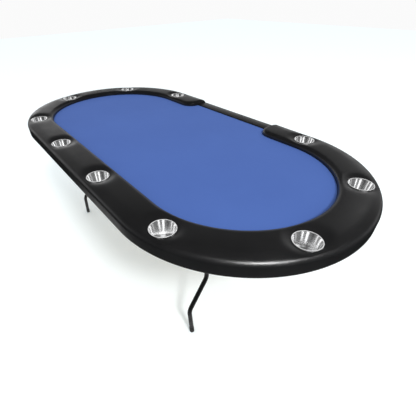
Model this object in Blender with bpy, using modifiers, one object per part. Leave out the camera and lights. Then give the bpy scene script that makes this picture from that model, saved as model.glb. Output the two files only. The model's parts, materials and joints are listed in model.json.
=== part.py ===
"""Oval ten-seat card table with a padded rail, a dealer cutout and two folding leg sets.

Frame: metres, +Z up, origin on the floor under the table's centre, +X along the table's length,
+Y towards the dealer's side. Run with: blender --background --python part.py
"""
import math

import bmesh
import bpy
from mathutils import Matrix, Vector

# ---------------------------------------------------------------- driving dimensions
TABLE_LENGTH = 2.200
TABLE_WIDTH = 1.120
TABLE_HEIGHT = 0.760
RAIL_WIDTH = 0.152
GAP = 0.0003                     # air left between neighbouring pieces

# plan of the top: two straight sides joined by half circles
END_RADIUS = TABLE_WIDTH / 2
STRAIGHT_HALF = TABLE_LENGTH / 2 - END_RADIUS
INNER_RADIUS = END_RADIUS - RAIL_WIDTH
ARC_STEPS = 18                   # facets in one half circle

# dealer's cutout in the +Y side of the rail
CUTOUT_HALF = 0.300
CUTOUT_INNER_CORNER = 0.075
CUTOUT_OUTER_CORNER = 0.018
STRIP_WIDTH = 0.074

# heights of the layers
BOARD_BOTTOM = 0.700
BOARD_THICKNESS = 0.018
BOARD_TOP = BOARD_BOTTOM + BOARD_THICKNESS
CLOTH_TOP = 0.7405
CLOTH_THICKNESS = 0.0015
FOAM_THICKNESS = 0.006
STRIP_TOP = 0.7415
RAIL_TOP = 0.758
RAIL_CORE_THICKNESS = 0.018
VINYL = 0.0012
SKIRT = 0.0010                   # the vinyl where it is stretched over the base board's edge
RAIL_EDGE_RADIUS = 0.015
EDGE_INSET = VINYL + GAP         # how far the boards stay inside the vinyl's outer face

# drop-in cup holders
CUP_RIM_RADIUS = 0.0478
CUP_BODY_RADIUS = 0.0420
CUP_BASE_RADIUS = 0.0380
CUP_WALL = 0.0009
CUP_DEPTH = 0.0610
CUP_HOLE_RADIUS = 0.0430
CUP_INSET = 0.0710               # cup centre, inwards from the table's edge
CUP_STEPS = 16
CUP_STRAIGHT_X = 0.224           # the pair on the long side opposite the dealer
CUP_DEALER_X = 0.539             # the pair beside the dealer
CUP_END_ANGLES = (-73.4, -18.6, 36.0)   # degrees round each end, from the table's long axis

# bolts that hold the rail down through the base board
BOLT_RADIUS = 0.004
BOLT_HEAD_RADIUS = 0.0075
BOLT_HEAD_HEIGHT = 0.0055
BOLT_CLEARANCE = 0.0004
BOLT_INSET = RAIL_WIDTH / 2

# folding legs
LEG_LEAN = math.radians(8.2)
FOOT_X = 0.665
PIVOT_HEIGHT = 0.655
LEG_TUBE_RADIUS = 0.0110
TUBE_WALL = 0.0015
LEG_TOP_Y = 0.210
LEG_FOOT_Y = 0.334
FOOT_STRAIGHT = 0.149            # straight length above the floor
BEND_STRAIGHT = 0.146            # length taken by the slanting part, measured down the leg
BEND_RADIUS = 0.060
PIVOT_BAR_RADIUS = 0.011
PIVOT_BAR_HALF = 0.242
LEG_TUBE_START = 0.008           # top of the leg tube's cope, below the pivot's axis
CROSSBAR_RADIUS = 0.008
CROSSBAR_DOWN = 0.260            # crossbar's distance down the leg from the pivot
CAP_RADIUS = 0.0124
CAP_LENGTH = 0.034
CAP_FLOOR = 0.005                # rubber under the tube's end

LEG_LENGTH = PIVOT_HEIGHT / math.cos(LEG_LEAN)
PIVOT_X = FOOT_X - PIVOT_HEIGHT * math.tan(LEG_LEAN)

# folding brace between the base board and the crossbar
BRACE_ANCHOR = 0.340             # bracket's pivot, inboard of the leg's pivot
BRACE_OFFSET = 0.022             # brace pivots stand this far off the leg's plane
BRACE_WIDTH = 0.016
BRACE_THICKNESS = 0.004
BRACE_SIDE_GAP = 0.0005          # each link's distance from the middle plane
BRACE_SLACK = 0.0002             # how much longer the links are than the opened gap
PIN_RADIUS = 0.004
PIN_HOLE_RADIUS = 0.0045
PIN_HEAD_RADIUS = 0.0065
PIN_HEAD_HEIGHT = 0.0025
PLATE = 0.004                    # bracket and lug plate thickness

# woodwork under the base board
BLOCK_HALF_WIDTH = 0.045
BLOCK_HALF_LENGTH = 0.275
BLOCK_BOTTOM = 0.6685
SADDLE_Y = 0.150
SADDLE_HALF_WIDTH = 0.015
SADDLE_THICKNESS = 0.003
SADDLE_FLANGE = 0.036
BATTEN_Y = 0.400
BATTEN_HALF_WIDTH = 0.015
BATTEN_HALF_LENGTH = 0.560
BATTEN_DEPTH = 0.020

COLLECTION_NAME = "folding_card_table"


# ---------------------------------------------------------------- scene and materials
def clear_scene():
    for obj in list(bpy.data.objects):
        bpy.data.objects.remove(obj, do_unlink=True)


def new_collection(name):
    collection = bpy.data.collections.new(name)
    bpy.context.scene.collection.children.link(collection)
    return collection


def new_material(name, colour, roughness, metallic=0.0):
    material = bpy.data.materials.new(name)
    material.use_nodes = True
    shader = material.node_tree.nodes["Principled BSDF"]
    shader.inputs["Base Color"].default_value = (*colour, 1.0)
    shader.inputs["Roughness"].default_value = roughness
    shader.inputs["Metallic"].default_value = metallic
    return material


clear_scene()
PARTS = new_collection(COLLECTION_NAME)
CUTTERS = new_collection("cutters")

VINYL_BLACK = new_material("black_vinyl", (0.018, 0.018, 0.019), 0.42)
CLOTH_BLUE = new_material("blue_cloth", (0.080, 0.160, 0.480), 0.85)
FOAM_WHITE = new_material("foam", (0.75, 0.73, 0.66), 0.90)
PLYWOOD = new_material("plywood", (0.52, 0.36, 0.20), 0.65)
HARDWOOD = new_material("hardwood", (0.42, 0.26, 0.13), 0.60)
STAINLESS = new_material("stainless", (0.62, 0.62, 0.63), 0.22, 1.0)
PAINTED_STEEL = new_material("black_painted_steel", (0.020, 0.020, 0.021), 0.38, 0.3)
ZINC = new_material("zinc_steel", (0.55, 0.55, 0.56), 0.35, 1.0)
RUBBER = new_material("black_rubber", (0.012, 0.012, 0.012), 0.75)


# ---------------------------------------------------------------- making objects
def add_object(name, data, material=None, collection=None):
    obj = bpy.data.objects.new(name, data)
    (collection or PARTS).objects.link(obj)
    if material is not None:
        data.materials.append(material)
    return obj


def mesh_of(source, name):
    """The mesh that an object shows, welded, as new data in the object's own frame."""
    bpy.context.view_layer.update()
    evaluated = source.evaluated_get(bpy.context.evaluated_depsgraph_get())
    mesh = bpy.data.meshes.new_from_object(evaluated)
    mesh.name = name
    shape = bmesh.new()
    shape.from_mesh(mesh)
    bmesh.ops.remove_doubles(shape, verts=shape.verts, dist=0.00002)
    bmesh.ops.recalc_face_normals(shape, faces=shape.faces)
    shape.to_mesh(mesh)
    shape.free()
    return mesh


def to_mesh_object(source, name, material, collection=None):
    """Replace a curve object by a welded mesh object in the same place."""
    mesh = mesh_of(source, name)
    mesh.materials.clear()
    placed = source.matrix_world.copy()
    bpy.data.objects.remove(source, do_unlink=True)
    obj = add_object(name, mesh, material, collection)
    obj.matrix_world = placed
    return obj


def as_cutter(obj):
    for collection in list(obj.users_collection):
        collection.objects.unlink(obj)
    CUTTERS.objects.link(obj)
    obj.hide_render = True
    obj.display_type = "WIRE"
    return obj


def cut(obj, cutter, operation="DIFFERENCE"):
    modifier = obj.modifiers.new("cut_by_" + cutter.name, "BOOLEAN")
    modifier.operation = operation
    modifier.solver = "EXACT"
    modifier.object = cutter
    return obj


def smooth(obj, angle=35.0):
    obj.data.shade_smooth()
    obj.data.set_sharp_from_angle(angle=math.radians(angle))
    return obj


def plate(name, outline, low, high, material=None, edge_radius=0.0, edge_steps=1):
    """A flat outline raised from low to high, with its top and bottom edges rounded."""
    curve = bpy.data.curves.new(name, "CURVE")
    curve.dimensions = "2D"
    curve.fill_mode = "BOTH"
    curve.extrude = (high - low) / 2 - edge_radius
    curve.bevel_depth = edge_radius
    curve.bevel_resolution = edge_steps
    curve.offset = -edge_radius
    spline = curve.splines.new("POLY")
    spline.points.add(len(outline) - 1)
    for point, (x, y) in zip(spline.points, outline):
        point.co = (x, y, 0.0, 1.0)
    spline.use_cyclic_u = True
    source = add_object(name + "_curve", curve)
    source.location = (0.0, 0.0, (low + high) / 2)
    bpy.context.view_layer.update()
    return to_mesh_object(source, name, material)


def box(name, size, centre, material=None):
    mesh = bpy.data.meshes.new(name)
    shape = bmesh.new()
    bmesh.ops.create_cube(shape, size=1.0, matrix=Matrix.Diagonal((*size, 1.0)))
    shape.to_mesh(mesh)
    shape.free()
    obj = add_object(name, mesh, material)
    obj.location = centre
    return obj


def cylinder(name, radius, start, end, material=None, sides=16):
    """A round bar between two points."""
    start = Vector(start)
    end = Vector(end)
    mesh = bpy.data.meshes.new(name)
    shape = bmesh.new()
    bmesh.ops.create_cone(shape, cap_ends=True, segments=sides, radius1=radius, radius2=radius,
                          depth=(end - start).length)
    shape.to_mesh(mesh)
    shape.free()
    obj = add_object(name, mesh, material)
    obj.location = (start + end) / 2
    obj.rotation_mode = "QUATERNION"
    obj.rotation_quaternion = (end - start).to_track_quat("Z", "Y")
    return obj


def turned(name, profile, material, steps):
    """A profile of (radius, height) points turned round Z; it runs down its outer side."""
    mesh = bpy.data.meshes.new(name)
    verts = [(radius, 0.0, height) for radius, height in profile]
    mesh.from_pydata(verts, [(i, i + 1) for i in range(len(verts) - 1)], [])
    source = add_object(name + "_profile", mesh)
    screw = source.modifiers.new("turn", "SCREW")
    screw.axis = "Z"
    screw.steps = steps
    screw.render_steps = steps
    screw.use_merge_vertices = True
    screw.merge_threshold = 0.00001
    screw.use_normal_calculate = True
    return smooth(to_mesh_object(source, name, material))


def tube(name, path, radius, wall, material, sides_resolution=2):
    """A hollow round tube along a list of points."""
    curve = bpy.data.curves.new(name, "CURVE")
    curve.dimensions = "3D"
    curve.bevel_depth = radius
    curve.bevel_resolution = sides_resolution
    curve.use_fill_caps = False
    spline = curve.splines.new("POLY")
    spline.points.add(len(path) - 1)
    for point, place in zip(spline.points, path):
        point.co = (*place, 1.0)
    obj = to_mesh_object(add_object(name + "_curve", curve), name, material)
    face = obj.data.polygons[0]
    nearest = min((Vector(place) for place in path), key=lambda place: (place - face.center).length)
    if face.normal.dot(face.center - nearest) < 0:
        obj.data.flip_normals()
    skin = obj.modifiers.new("wall", "SOLIDIFY")
    skin.thickness = wall
    skin.offset = -1.0
    return smooth(obj, 50.0)


def rounded_path(corners, radius, steps=4):
    """A polyline through corners with each inner corner replaced by an arc."""
    corners = [Vector(c) for c in corners]
    path = [corners[0]]
    for before, corner, after in zip(corners, corners[1:], corners[2:]):
        to_before = (before - corner).normalized()
        to_after = (after - corner).normalized()
        half = to_before.angle(to_after) / 2
        middle = (to_before + to_after).normalized()
        centre = corner + middle * (radius / math.sin(half))
        reach = radius / math.tan(half)
        first = (corner + to_before * reach - centre).normalized()
        last = (corner + to_after * reach - centre).normalized()
        for step in range(steps + 1):
            path.append(centre + first.slerp(last, step / steps) * radius)
    path.append(corners[-1])
    return path


def pivot(name, place, angle=0.0, parent=None, turn=0.0):
    """An empty on a joint's axis, turned about Y by angle and then about Z by turn."""
    empty = bpy.data.objects.new(name, None)
    PARTS.objects.link(empty)
    empty.empty_display_size = 0.05
    empty.location = place
    empty.rotation_euler = (0.0, angle, turn)
    empty.parent = parent
    return empty


# ---------------------------------------------------------------- plan outlines
def arc(centre_x, centre_y, radius, start, end, steps):
    points = []
    for step in range(steps + 1):
        angle = math.radians(start + (end - start) * step / steps)
        points.append((centre_x + radius * math.cos(angle), centre_y + radius * math.sin(angle)))
    return points


def racetrack(inset):
    """The whole table's outline, moved inwards by inset."""
    radius = END_RADIUS - inset
    return (arc(STRAIGHT_HALF, 0.0, radius, -90, 90, ARC_STEPS)
            + arc(-STRAIGHT_HALF, 0.0, radius, 90, 270, ARC_STEPS))


def rail_outline(inset):
    """The C-shaped rail's outline, moved inwards by inset."""
    outer = END_RADIUS - inset
    inner = INNER_RADIUS + inset
    end = CUTOUT_HALF + inset
    outer_corner = CUTOUT_OUTER_CORNER - inset
    corner_x = CUTOUT_HALF + CUTOUT_OUTER_CORNER
    corner_y = END_RADIUS - CUTOUT_OUTER_CORNER
    inner_corner = CUTOUT_INNER_CORNER - inset
    curl_x = CUTOUT_HALF + CUTOUT_INNER_CORNER
    curl_y = INNER_RADIUS + CUTOUT_INNER_CORNER
    points = arc(corner_x, corner_y, outer_corner, 180, 90, 3)
    points += arc(STRAIGHT_HALF, 0.0, outer, 90, -90, ARC_STEPS)
    points += arc(-STRAIGHT_HALF, 0.0, outer, 270, 90, ARC_STEPS)
    points += arc(-corner_x, corner_y, outer_corner, 90, 0, 3)
    points += arc(-curl_x, curl_y, inner_corner, 0, -90, 6)
    points += arc(-STRAIGHT_HALF, 0.0, inner, 90, 270, ARC_STEPS)
    points += arc(STRAIGHT_HALF, 0.0, inner, -90, 90, ARC_STEPS)
    points += arc(curl_x, curl_y, inner_corner, -90, -180, 6)
    return points


def playfield_outline(inset):
    """The cloth's outline: the rail's inner edge, and a straight edge along the dealer's strip."""
    radius = INNER_RADIUS - inset
    curl = CUTOUT_INNER_CORNER + inset
    curl_x = CUTOUT_HALF + CUTOUT_INNER_CORNER
    curl_y = INNER_RADIUS + CUTOUT_INNER_CORNER
    points = arc(STRAIGHT_HALF, 0.0, radius, -90, 90, ARC_STEPS)
    points += arc(curl_x, curl_y, curl, -90, -180, 6)
    points += [(CUTOUT_HALF - inset, strip_inner_edge() - GAP)]
    points += [(-CUTOUT_HALF + inset, strip_inner_edge() - GAP)]
    points += arc(-curl_x, curl_y, curl, 0, -90, 6)
    points += arc(-STRAIGHT_HALF, 0.0, radius, 90, 270, ARC_STEPS)
    return points


def strip_inner_edge():
    return END_RADIUS - STRIP_WIDTH


def on_end(angle, inset, side):
    """A point round one end of the table, angle degrees from the long axis."""
    reach = END_RADIUS - inset
    turned_by = math.radians(angle)
    return (side * (STRAIGHT_HALF + reach * math.cos(turned_by)), reach * math.sin(turned_by))


def cup_places():
    """Centres of the ten cup holders, as mirrored pairs."""
    y = END_RADIUS - CUP_INSET
    places = []
    for side in (1, -1):
        places.append((side * CUP_STRAIGHT_X, -y))
        for angle in CUP_END_ANGLES:
            places.append(on_end(angle, CUP_INSET, side))
        places.append((side * CUP_DEALER_X, y))
    return places


def bolt_places():
    """Centres of the six rail bolts, as mirrored pairs."""
    y = END_RADIUS - BOLT_INSET
    places = []
    for side in (1, -1):
        places.append((side * 0.440, -y))
        places.append(on_end(8.7, BOLT_INSET, side))
        places.append((side * 0.420, y))
    return places


# ---------------------------------------------------------------- the top
def make_hole_cutters():
    cups = []
    for number, (x, y) in enumerate(cup_places(), 1):
        cutter = cylinder(f"cup_hole_{number:02d}", CUP_HOLE_RADIUS, (x, y, 0.65), (x, y, 0.80), sides=CUP_STEPS)
        cups.append(as_cutter(cutter))
    bolts = []
    for number, (x, y) in enumerate(bolt_places(), 1):
        hole = BOLT_RADIUS + BOLT_CLEARANCE
        cutter = cylinder(f"bolt_hole_{number}", hole, (x, y, 0.65), (x, y, 0.7325), sides=12)
        bolts.append(as_cutter(cutter))
    return cups, bolts


def join_as_cutter(name, pieces):
    """One cutter made of several pieces that don't touch each other."""
    shape = bmesh.new()
    for piece in pieces:
        bpy.context.view_layer.update()
        mesh = piece.data.copy()
        mesh.transform(piece.matrix_world)
        shape.from_mesh(mesh)
        bpy.data.meshes.remove(mesh)
        bpy.data.objects.remove(piece, do_unlink=True)
    joined = bpy.data.meshes.new(name)
    shape.to_mesh(joined)
    shape.free()
    return as_cutter(add_object(name, joined))


def top_rounded_rail(name, inset, low, high, material, steps):
    """The rail's outline with its upper edges rounded and its lower edges square."""
    radius = RAIL_EDGE_RADIUS - inset
    obj = plate(name, rail_outline(inset), low - 3 * radius, high, material, radius, steps)
    below = box(name + "_below", (3.0, 2.0, 0.2), (0.0, 0.0, low - 0.1))
    return cut(obj, as_cutter(below))


def make_rail(cup_cutter, bolt_cutter):
    cover = top_rounded_rail("rail_cover", 0.0, BOARD_BOTTOM, RAIL_TOP, VINYL_BLACK, 1)
    hollow = plate("rail_hollow", rail_outline(VINYL), BOARD_BOTTOM - 0.05, RAIL_TOP - VINYL,
                   edge_radius=RAIL_EDGE_RADIUS - VINYL, edge_steps=1)
    cut(cover, as_cutter(hollow))
    board_room = plate("board_room", racetrack(SKIRT), BOARD_BOTTOM - 0.05, BOARD_TOP + GAP)
    cut(cover, as_cutter(board_room))
    cut(cover, cup_cutter)
    smooth(cover)

    core_low = BOARD_TOP + GAP
    core_high = core_low + RAIL_CORE_THICKNESS
    core = plate("rail_core", rail_outline(EDGE_INSET), core_low, core_high, PLYWOOD)
    cut(core, cup_cutter)
    cut(core, bolt_cutter)

    foam = top_rounded_rail("rail_foam", EDGE_INSET, core_high + GAP, RAIL_TOP - EDGE_INSET, FOAM_WHITE, 1)
    cut(foam, cup_cutter)


def make_boards(cup_cutter, bolt_cutter):
    base = plate("base_board", racetrack(EDGE_INSET), BOARD_BOTTOM, BOARD_TOP, PLYWOOD)
    cut(base, cup_cutter)
    cut(base, bolt_cutter)

    inset = 2 * GAP
    foam_low = CLOTH_TOP - CLOTH_THICKNESS - GAP - FOAM_THICKNESS
    plate("playfield_board", playfield_outline(inset), BOARD_TOP + GAP, foam_low - GAP, PLYWOOD)
    plate("playfield_foam", playfield_outline(inset), foam_low, foam_low + FOAM_THICKNESS, FOAM_WHITE)
    plate("playing_cloth", playfield_outline(inset), CLOTH_TOP - CLOTH_THICKNESS, CLOTH_TOP, CLOTH_BLUE)


def make_dealer_strip():
    half = CUTOUT_HALF - 2 * GAP
    back = strip_inner_edge()
    front = END_RADIUS
    mid_y = (back + front) / 2
    cover = box("dealer_strip_cover", (2 * half, front - back, STRIP_TOP - BOARD_BOTTOM),
                (0.0, mid_y, (STRIP_TOP + BOARD_BOTTOM) / 2), VINYL_BLACK)
    bevel = cover.modifiers.new("soft_edges", "BEVEL")
    bevel.width = 0.004
    bevel.segments = 2
    bevel.limit_method = "ANGLE"
    room = box("strip_room", (3 * half, front - back, 0.2),
               (0.0, mid_y - VINYL, STRIP_TOP - VINYL - 0.1))
    cut(cover, as_cutter(room))

    core_low = BOARD_TOP + GAP
    core_high = STRIP_TOP - EDGE_INSET
    core_front = front - EDGE_INSET
    box("dealer_strip_core", (2 * half, core_front - back, core_high - core_low),
        (0.0, (back + core_front) / 2, (core_low + core_high) / 2), PLYWOOD)


def cup_profile():
    """The pressed steel cup's section, from the inside bottom over the rim to the outside bottom."""
    rim_low = RAIL_TOP + GAP
    rim_high = TABLE_HEIGHT
    floor = rim_high - CUP_DEPTH
    return [
        (0.0, floor + CUP_WALL),
        (CUP_BASE_RADIUS - 0.0035, floor + CUP_WALL),
        (CUP_BASE_RADIUS - CUP_WALL, floor + 0.0035),
        (CUP_BODY_RADIUS - CUP_WALL, rim_high - 0.0022),
        (CUP_BODY_RADIUS + 0.0015, rim_high - 0.0001),
        (CUP_RIM_RADIUS - 0.0018, rim_high),
        (CUP_RIM_RADIUS, rim_high - 0.0008),
        (CUP_RIM_RADIUS - 0.0010, rim_low),
        (CUP_BODY_RADIUS + 0.0006, rim_low),
        (CUP_BODY_RADIUS, rim_low - 0.0012),
        (CUP_BASE_RADIUS, floor + 0.0030),
        (CUP_BASE_RADIUS - 0.0030, floor),
        (0.0, floor),
    ]


def make_cups():
    first = turned("cup_holder_01", cup_profile(), STAINLESS, CUP_STEPS)
    for number, (x, y) in enumerate(cup_places(), 1):
        obj = first
        if number > 1:
            obj = bpy.data.objects.new(f"cup_holder_{number:02d}", first.data)
            PARTS.objects.link(obj)
        obj.location = (x, y, 0.0)


def make_rail_bolts():
    profile = [
        (0.0, 0.7320),
        (BOLT_RADIUS, 0.7320),
        (BOLT_RADIUS, BOARD_BOTTOM - GAP),
        (BOLT_HEAD_RADIUS, BOARD_BOTTOM - GAP),
        (BOLT_HEAD_RADIUS, BOARD_BOTTOM - GAP - BOLT_HEAD_HEIGHT),
        (0.0, BOARD_BOTTOM - GAP - BOLT_HEAD_HEIGHT),
    ]
    first = turned("rail_bolt_1", profile, ZINC, 12)
    for number, (x, y) in enumerate(bolt_places(), 1):
        obj = first
        if number > 1:
            obj = bpy.data.objects.new(f"rail_bolt_{number}", first.data)
            PARTS.objects.link(obj)
        obj.location = (x, y, 0.0)


# ---------------------------------------------------------------- woodwork and brackets below
def make_battens():
    for name, side in (("side_batten_dealer", 1), ("side_batten_player", -1)):
        high = BOARD_BOTTOM - GAP
        box(name, (2 * BATTEN_HALF_LENGTH, 2 * BATTEN_HALF_WIDTH, BATTEN_DEPTH),
            (0.0, side * BATTEN_Y, high - BATTEN_DEPTH / 2), HARDWOOD)


def make_leg_block(set_name, side):
    high = BOARD_BOTTOM - GAP
    box("leg_block_" + set_name, (2 * BLOCK_HALF_WIDTH, 2 * BLOCK_HALF_LENGTH, high - BLOCK_BOTTOM),
        (side * PIVOT_X, 0.0, (high + BLOCK_BOTTOM) / 2), HARDWOOD)


def saddle_outline():
    """Section of the strap that holds the pivot bar up: two flanges and a half round."""
    inner = PIVOT_BAR_RADIUS + 0.0005
    outer = inner + SADDLE_THICKNESS
    top = BLOCK_BOTTOM - GAP - PIVOT_HEIGHT
    under = top - SADDLE_THICKNESS
    points = [(SADDLE_FLANGE, top), (inner, top)]
    points += arc(0.0, 0.0, inner, 0, -180, 10)
    points += [(-inner, top), (-SADDLE_FLANGE, top), (-SADDLE_FLANGE, under), (-outer, under)]
    points += arc(0.0, 0.0, outer, 180, 360, 10)
    points += [(outer, under), (SADDLE_FLANGE, under)]
    return points


def make_saddle(name, side, y):
    """A strap saddle: its section is drawn in XY and stood up so that it runs along Y."""
    obj = plate(name, saddle_outline(), -SADDLE_HALF_WIDTH, SADDLE_HALF_WIDTH, PAINTED_STEEL)
    obj.location = (side * PIVOT_X, y, PIVOT_HEIGHT)
    obj.rotation_euler = (math.pi / 2, 0.0, 0.0)
    return smooth(obj)


# ---------------------------------------------------------------- one folding leg set
def link_lengths():
    """Upper and lower brace link lengths: flat when folded, just past straight when open."""
    difference = BRACE_ANCHOR - CROSSBAR_DOWN
    lug = lug_place(0.0)
    anchor = brace_anchor()
    opened = (lug - anchor).length
    total = opened + BRACE_SLACK
    return (total + difference) / 2, (total - difference) / 2


def brace_anchor():
    """The bracket's pivot in the plane (outboard, up), from the leg's pivot."""
    return Vector((-BRACE_ANCHOR, BRACE_OFFSET))


def lug_place(fold):
    """The crossbar lug's pivot in the plane (outboard, up), from the leg's pivot."""
    lean = LEG_LEAN - fold
    along = Vector((math.sin(lean), -math.cos(lean)))
    inboard = Vector((-math.cos(lean), -math.sin(lean)))
    return along * CROSSBAR_DOWN + inboard * BRACE_OFFSET


def brace_angles():
    """World turns about Y, at rest, of the upper link and of the lower link.

    A link points along +X in its own frame; a turn b about Y points it to (cos b, -sin b).
    The knee hangs just below the straight line, so the open brace is held past its centre.
    """
    upper, lower = link_lengths()
    anchor = brace_anchor()
    lug = lug_place(0.0)
    line = lug - anchor
    distance = line.length
    line_turn = math.atan2(-line.y, line.x)
    inside = math.acos((upper ** 2 + distance ** 2 - lower ** 2) / (2 * upper * distance))
    upper_turn = line_turn + inside
    knee = anchor + Vector((math.cos(upper_turn), -math.sin(upper_turn))) * upper
    to_knee = knee - lug
    return upper_turn, math.atan2(-to_knee.y, to_knee.x)


def link_outline(length):
    half = BRACE_WIDTH / 2
    return arc(0.0, 0.0, half, 90, 270, 8) + arc(length, 0.0, half, -90, 90, 8)


def flat_bar(name, outline, thickness, parent, y, material, holes):
    """A flat plate standing in the XZ plane, centred on y, with round holes (x, z, radius)."""
    for number, (x, z, radius) in enumerate(holes, 1):
        cutter = cylinder(f"{name}_hole_{number}", radius, (x, -0.02 + y, z), (x, 0.02 + y, z))
        cutter.parent = parent
        as_cutter(cutter)
    obj = plate(name, outline, -thickness / 2, thickness / 2, material)
    obj.location = (0.0, y, 0.0)
    obj.rotation_euler = (math.pi / 2, 0.0, 0.0)
    obj.parent = parent
    for number in range(1, len(holes) + 1):
        cut(obj, bpy.data.objects[f"{name}_hole_{number}"])
    return smooth(obj)


def make_pin(name, side, reach, parent, place, radius=PIN_RADIUS):
    """A headed pin along Y: its tail is near the middle plane and its head is on the given side."""
    tail = 0.0003
    profile = [
        (0.0, reach + PIN_HEAD_HEIGHT),
        (PIN_HEAD_RADIUS * 0.7, reach + PIN_HEAD_HEIGHT),
        (PIN_HEAD_RADIUS, reach + PIN_HEAD_HEIGHT * 0.4),
        (PIN_HEAD_RADIUS, reach),
        (radius, reach),
        (radius, tail),
        (0.0, tail),
    ]
    obj = turned(name, profile, ZINC, 12)
    obj.location = place
    obj.rotation_euler = (-side * math.pi / 2, 0.0, 0.0)
    obj.parent = parent
    return obj


def make_leg_tube(name, hand, legs, bar_cutter):
    """One bent leg tube in the leg set's plane, coped to the pivot bar."""
    end = LEG_LENGTH - CAP_FLOOR - 0.002
    lower_bend = LEG_LENGTH - FOOT_STRAIGHT
    upper_bend = lower_bend - BEND_STRAIGHT
    corners = [
        (0.0, hand * LEG_TOP_Y, -LEG_TUBE_START),
        (0.0, hand * LEG_TOP_Y, -upper_bend),
        (0.0, hand * LEG_FOOT_Y, -lower_bend),
        (0.0, hand * LEG_FOOT_Y, -end),
    ]
    obj = tube(name, rounded_path(corners, BEND_RADIUS), LEG_TUBE_RADIUS, TUBE_WALL, PAINTED_STEEL)
    obj.parent = legs
    return cut(obj, bar_cutter)


def make_foot_cap(name, hand, legs):
    """A rubber cap on the tube's end, cut level with the floor."""
    low = -LEG_LENGTH - 0.0018
    high = -LEG_LENGTH + CAP_LENGTH
    bore = LEG_TUBE_RADIUS + GAP
    floor = -LEG_LENGTH + CAP_FLOOR
    profile = [
        (0.0, floor),
        (bore, floor),
        (bore, high),
        (CAP_RADIUS - 0.0004, high),
        (CAP_RADIUS, high - 0.002),
        (CAP_RADIUS, low + 0.0060),
        (CAP_RADIUS - 0.0020, low + 0.0022),
        (CAP_RADIUS - 0.0045, low),
        (0.0, low),
    ]
    obj = turned(name, profile, RUBBER, 16)
    obj.location = (0.0, hand * LEG_FOOT_Y, 0.0)
    obj.parent = legs
    ground = box(name + "_ground", (0.10, 0.10, 0.05), (0.0, hand * LEG_FOOT_Y, 0.0))
    below = Matrix.Rotation(LEG_LEAN, 4, "Y") @ Matrix.Translation((0.0, 0.0, -0.025))
    ground.matrix_local = Matrix.Translation((0.0, hand * LEG_FOOT_Y, -LEG_LENGTH)) @ below
    ground.parent = legs
    return cut(obj, as_cutter(ground))


def make_crossbar(set_name, legs):
    """The bar between the leg tubes, coped to both, and the lug that carries the brace."""
    down = -CROSSBAR_DOWN
    bar = tube("crossbar_" + set_name, [(0.0, -LEG_TOP_Y, down), (0.0, LEG_TOP_Y, down)],
               CROSSBAR_RADIUS, TUBE_WALL, PAINTED_STEEL)
    bar.parent = legs
    for hand in (1, -1):
        y = hand * LEG_TOP_Y
        cutter = cylinder(f"cope_{set_name}_{hand + 1}", LEG_TUBE_RADIUS + GAP + 0.0002,
                          (0.0, y, down - 0.03), (0.0, y, down + 0.03), sides=24)
        cutter.parent = legs
        cut(bar, as_cutter(cutter))

    ring = CROSSBAR_RADIUS + 0.0045
    angle = 90
    outline = arc(0.0, down, ring, angle, angle - 180, 8)
    outline += arc(-BRACE_OFFSET, down, ring * 0.8, angle + 180, angle, 8)
    y = -(BRACE_SIDE_GAP + BRACE_THICKNESS + BRACE_SIDE_GAP + PLATE / 2)
    holes = [(0.0, down, CROSSBAR_RADIUS + 2 * GAP), (-BRACE_OFFSET, down, PIN_HOLE_RADIUS)]
    flat_bar("brace_lug_" + set_name, outline, PLATE, legs, y, PAINTED_STEEL, holes)
    reach = BRACE_SIDE_GAP + BRACE_THICKNESS + BRACE_SIDE_GAP + PLATE + GAP
    make_pin("brace_pin_leg_" + set_name, -1, reach, legs, (-BRACE_OFFSET, 0.0, down))


def make_brace_bracket(set_name, frame):
    """An angle bracket under the base board that carries the upper link's pivot."""
    x = -BRACE_ANCHOR
    pivot_z = BRACE_OFFSET
    top = BOARD_BOTTOM - GAP - PIVOT_HEIGHT
    ear = 0.010
    y = BRACE_SIDE_GAP + BRACE_THICKNESS + BRACE_SIDE_GAP + PLATE / 2
    outline = [(x - ear, top), (x - ear, pivot_z)]
    outline += arc(x, pivot_z, ear, 180, 360, 8)[1:-1]
    outline += [(x + ear, pivot_z), (x + ear, top)]
    holes = [(x, pivot_z, PIN_HOLE_RADIUS)]
    ear_plate = flat_bar("brace_bracket_" + set_name, outline, PLATE, frame, y, PAINTED_STEEL, holes)
    flange = box("bracket_flange_" + set_name, (0.050, 0.032, 0.003),
                 (x, y + 0.012, top - 0.0015))
    flange.parent = frame
    cut(ear_plate, as_cutter(flange), "UNION")
    reach = BRACE_SIDE_GAP + BRACE_THICKNESS + BRACE_SIDE_GAP + PLATE + GAP
    make_pin("brace_pin_table_" + set_name, 1, reach, frame, (x, 0.0, pivot_z))


def make_brace_links(set_name, frame, legs):
    upper, lower = link_lengths()
    upper_turn, lower_turn = brace_angles()
    y = BRACE_SIDE_GAP + BRACE_THICKNESS / 2
    upper_pivot = pivot("upper_brace_axis_" + set_name, (-BRACE_ANCHOR, 0.0, BRACE_OFFSET),
                        upper_turn, frame)
    holes = [(0.0, 0.0, PIN_HOLE_RADIUS), (upper, 0.0, PIN_HOLE_RADIUS)]
    flat_bar("upper_brace_" + set_name, link_outline(upper), BRACE_THICKNESS, upper_pivot, y,
             PAINTED_STEEL, holes)
    reach = BRACE_SIDE_GAP + BRACE_THICKNESS + GAP
    make_pin("knee_rivet_" + set_name, 1, reach, upper_pivot, (upper, 0.0, 0.0))

    lower_pivot = pivot("lower_brace_axis_" + set_name, (-BRACE_OFFSET, 0.0, -CROSSBAR_DOWN),
                        lower_turn + LEG_LEAN, legs)
    flat_bar("lower_brace_" + set_name, link_outline(lower), BRACE_THICKNESS, lower_pivot, -y,
             PAINTED_STEEL, [(0.0, 0.0, PIN_HOLE_RADIUS), (lower, 0.0, PIN_HOLE_RADIUS)])


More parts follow.
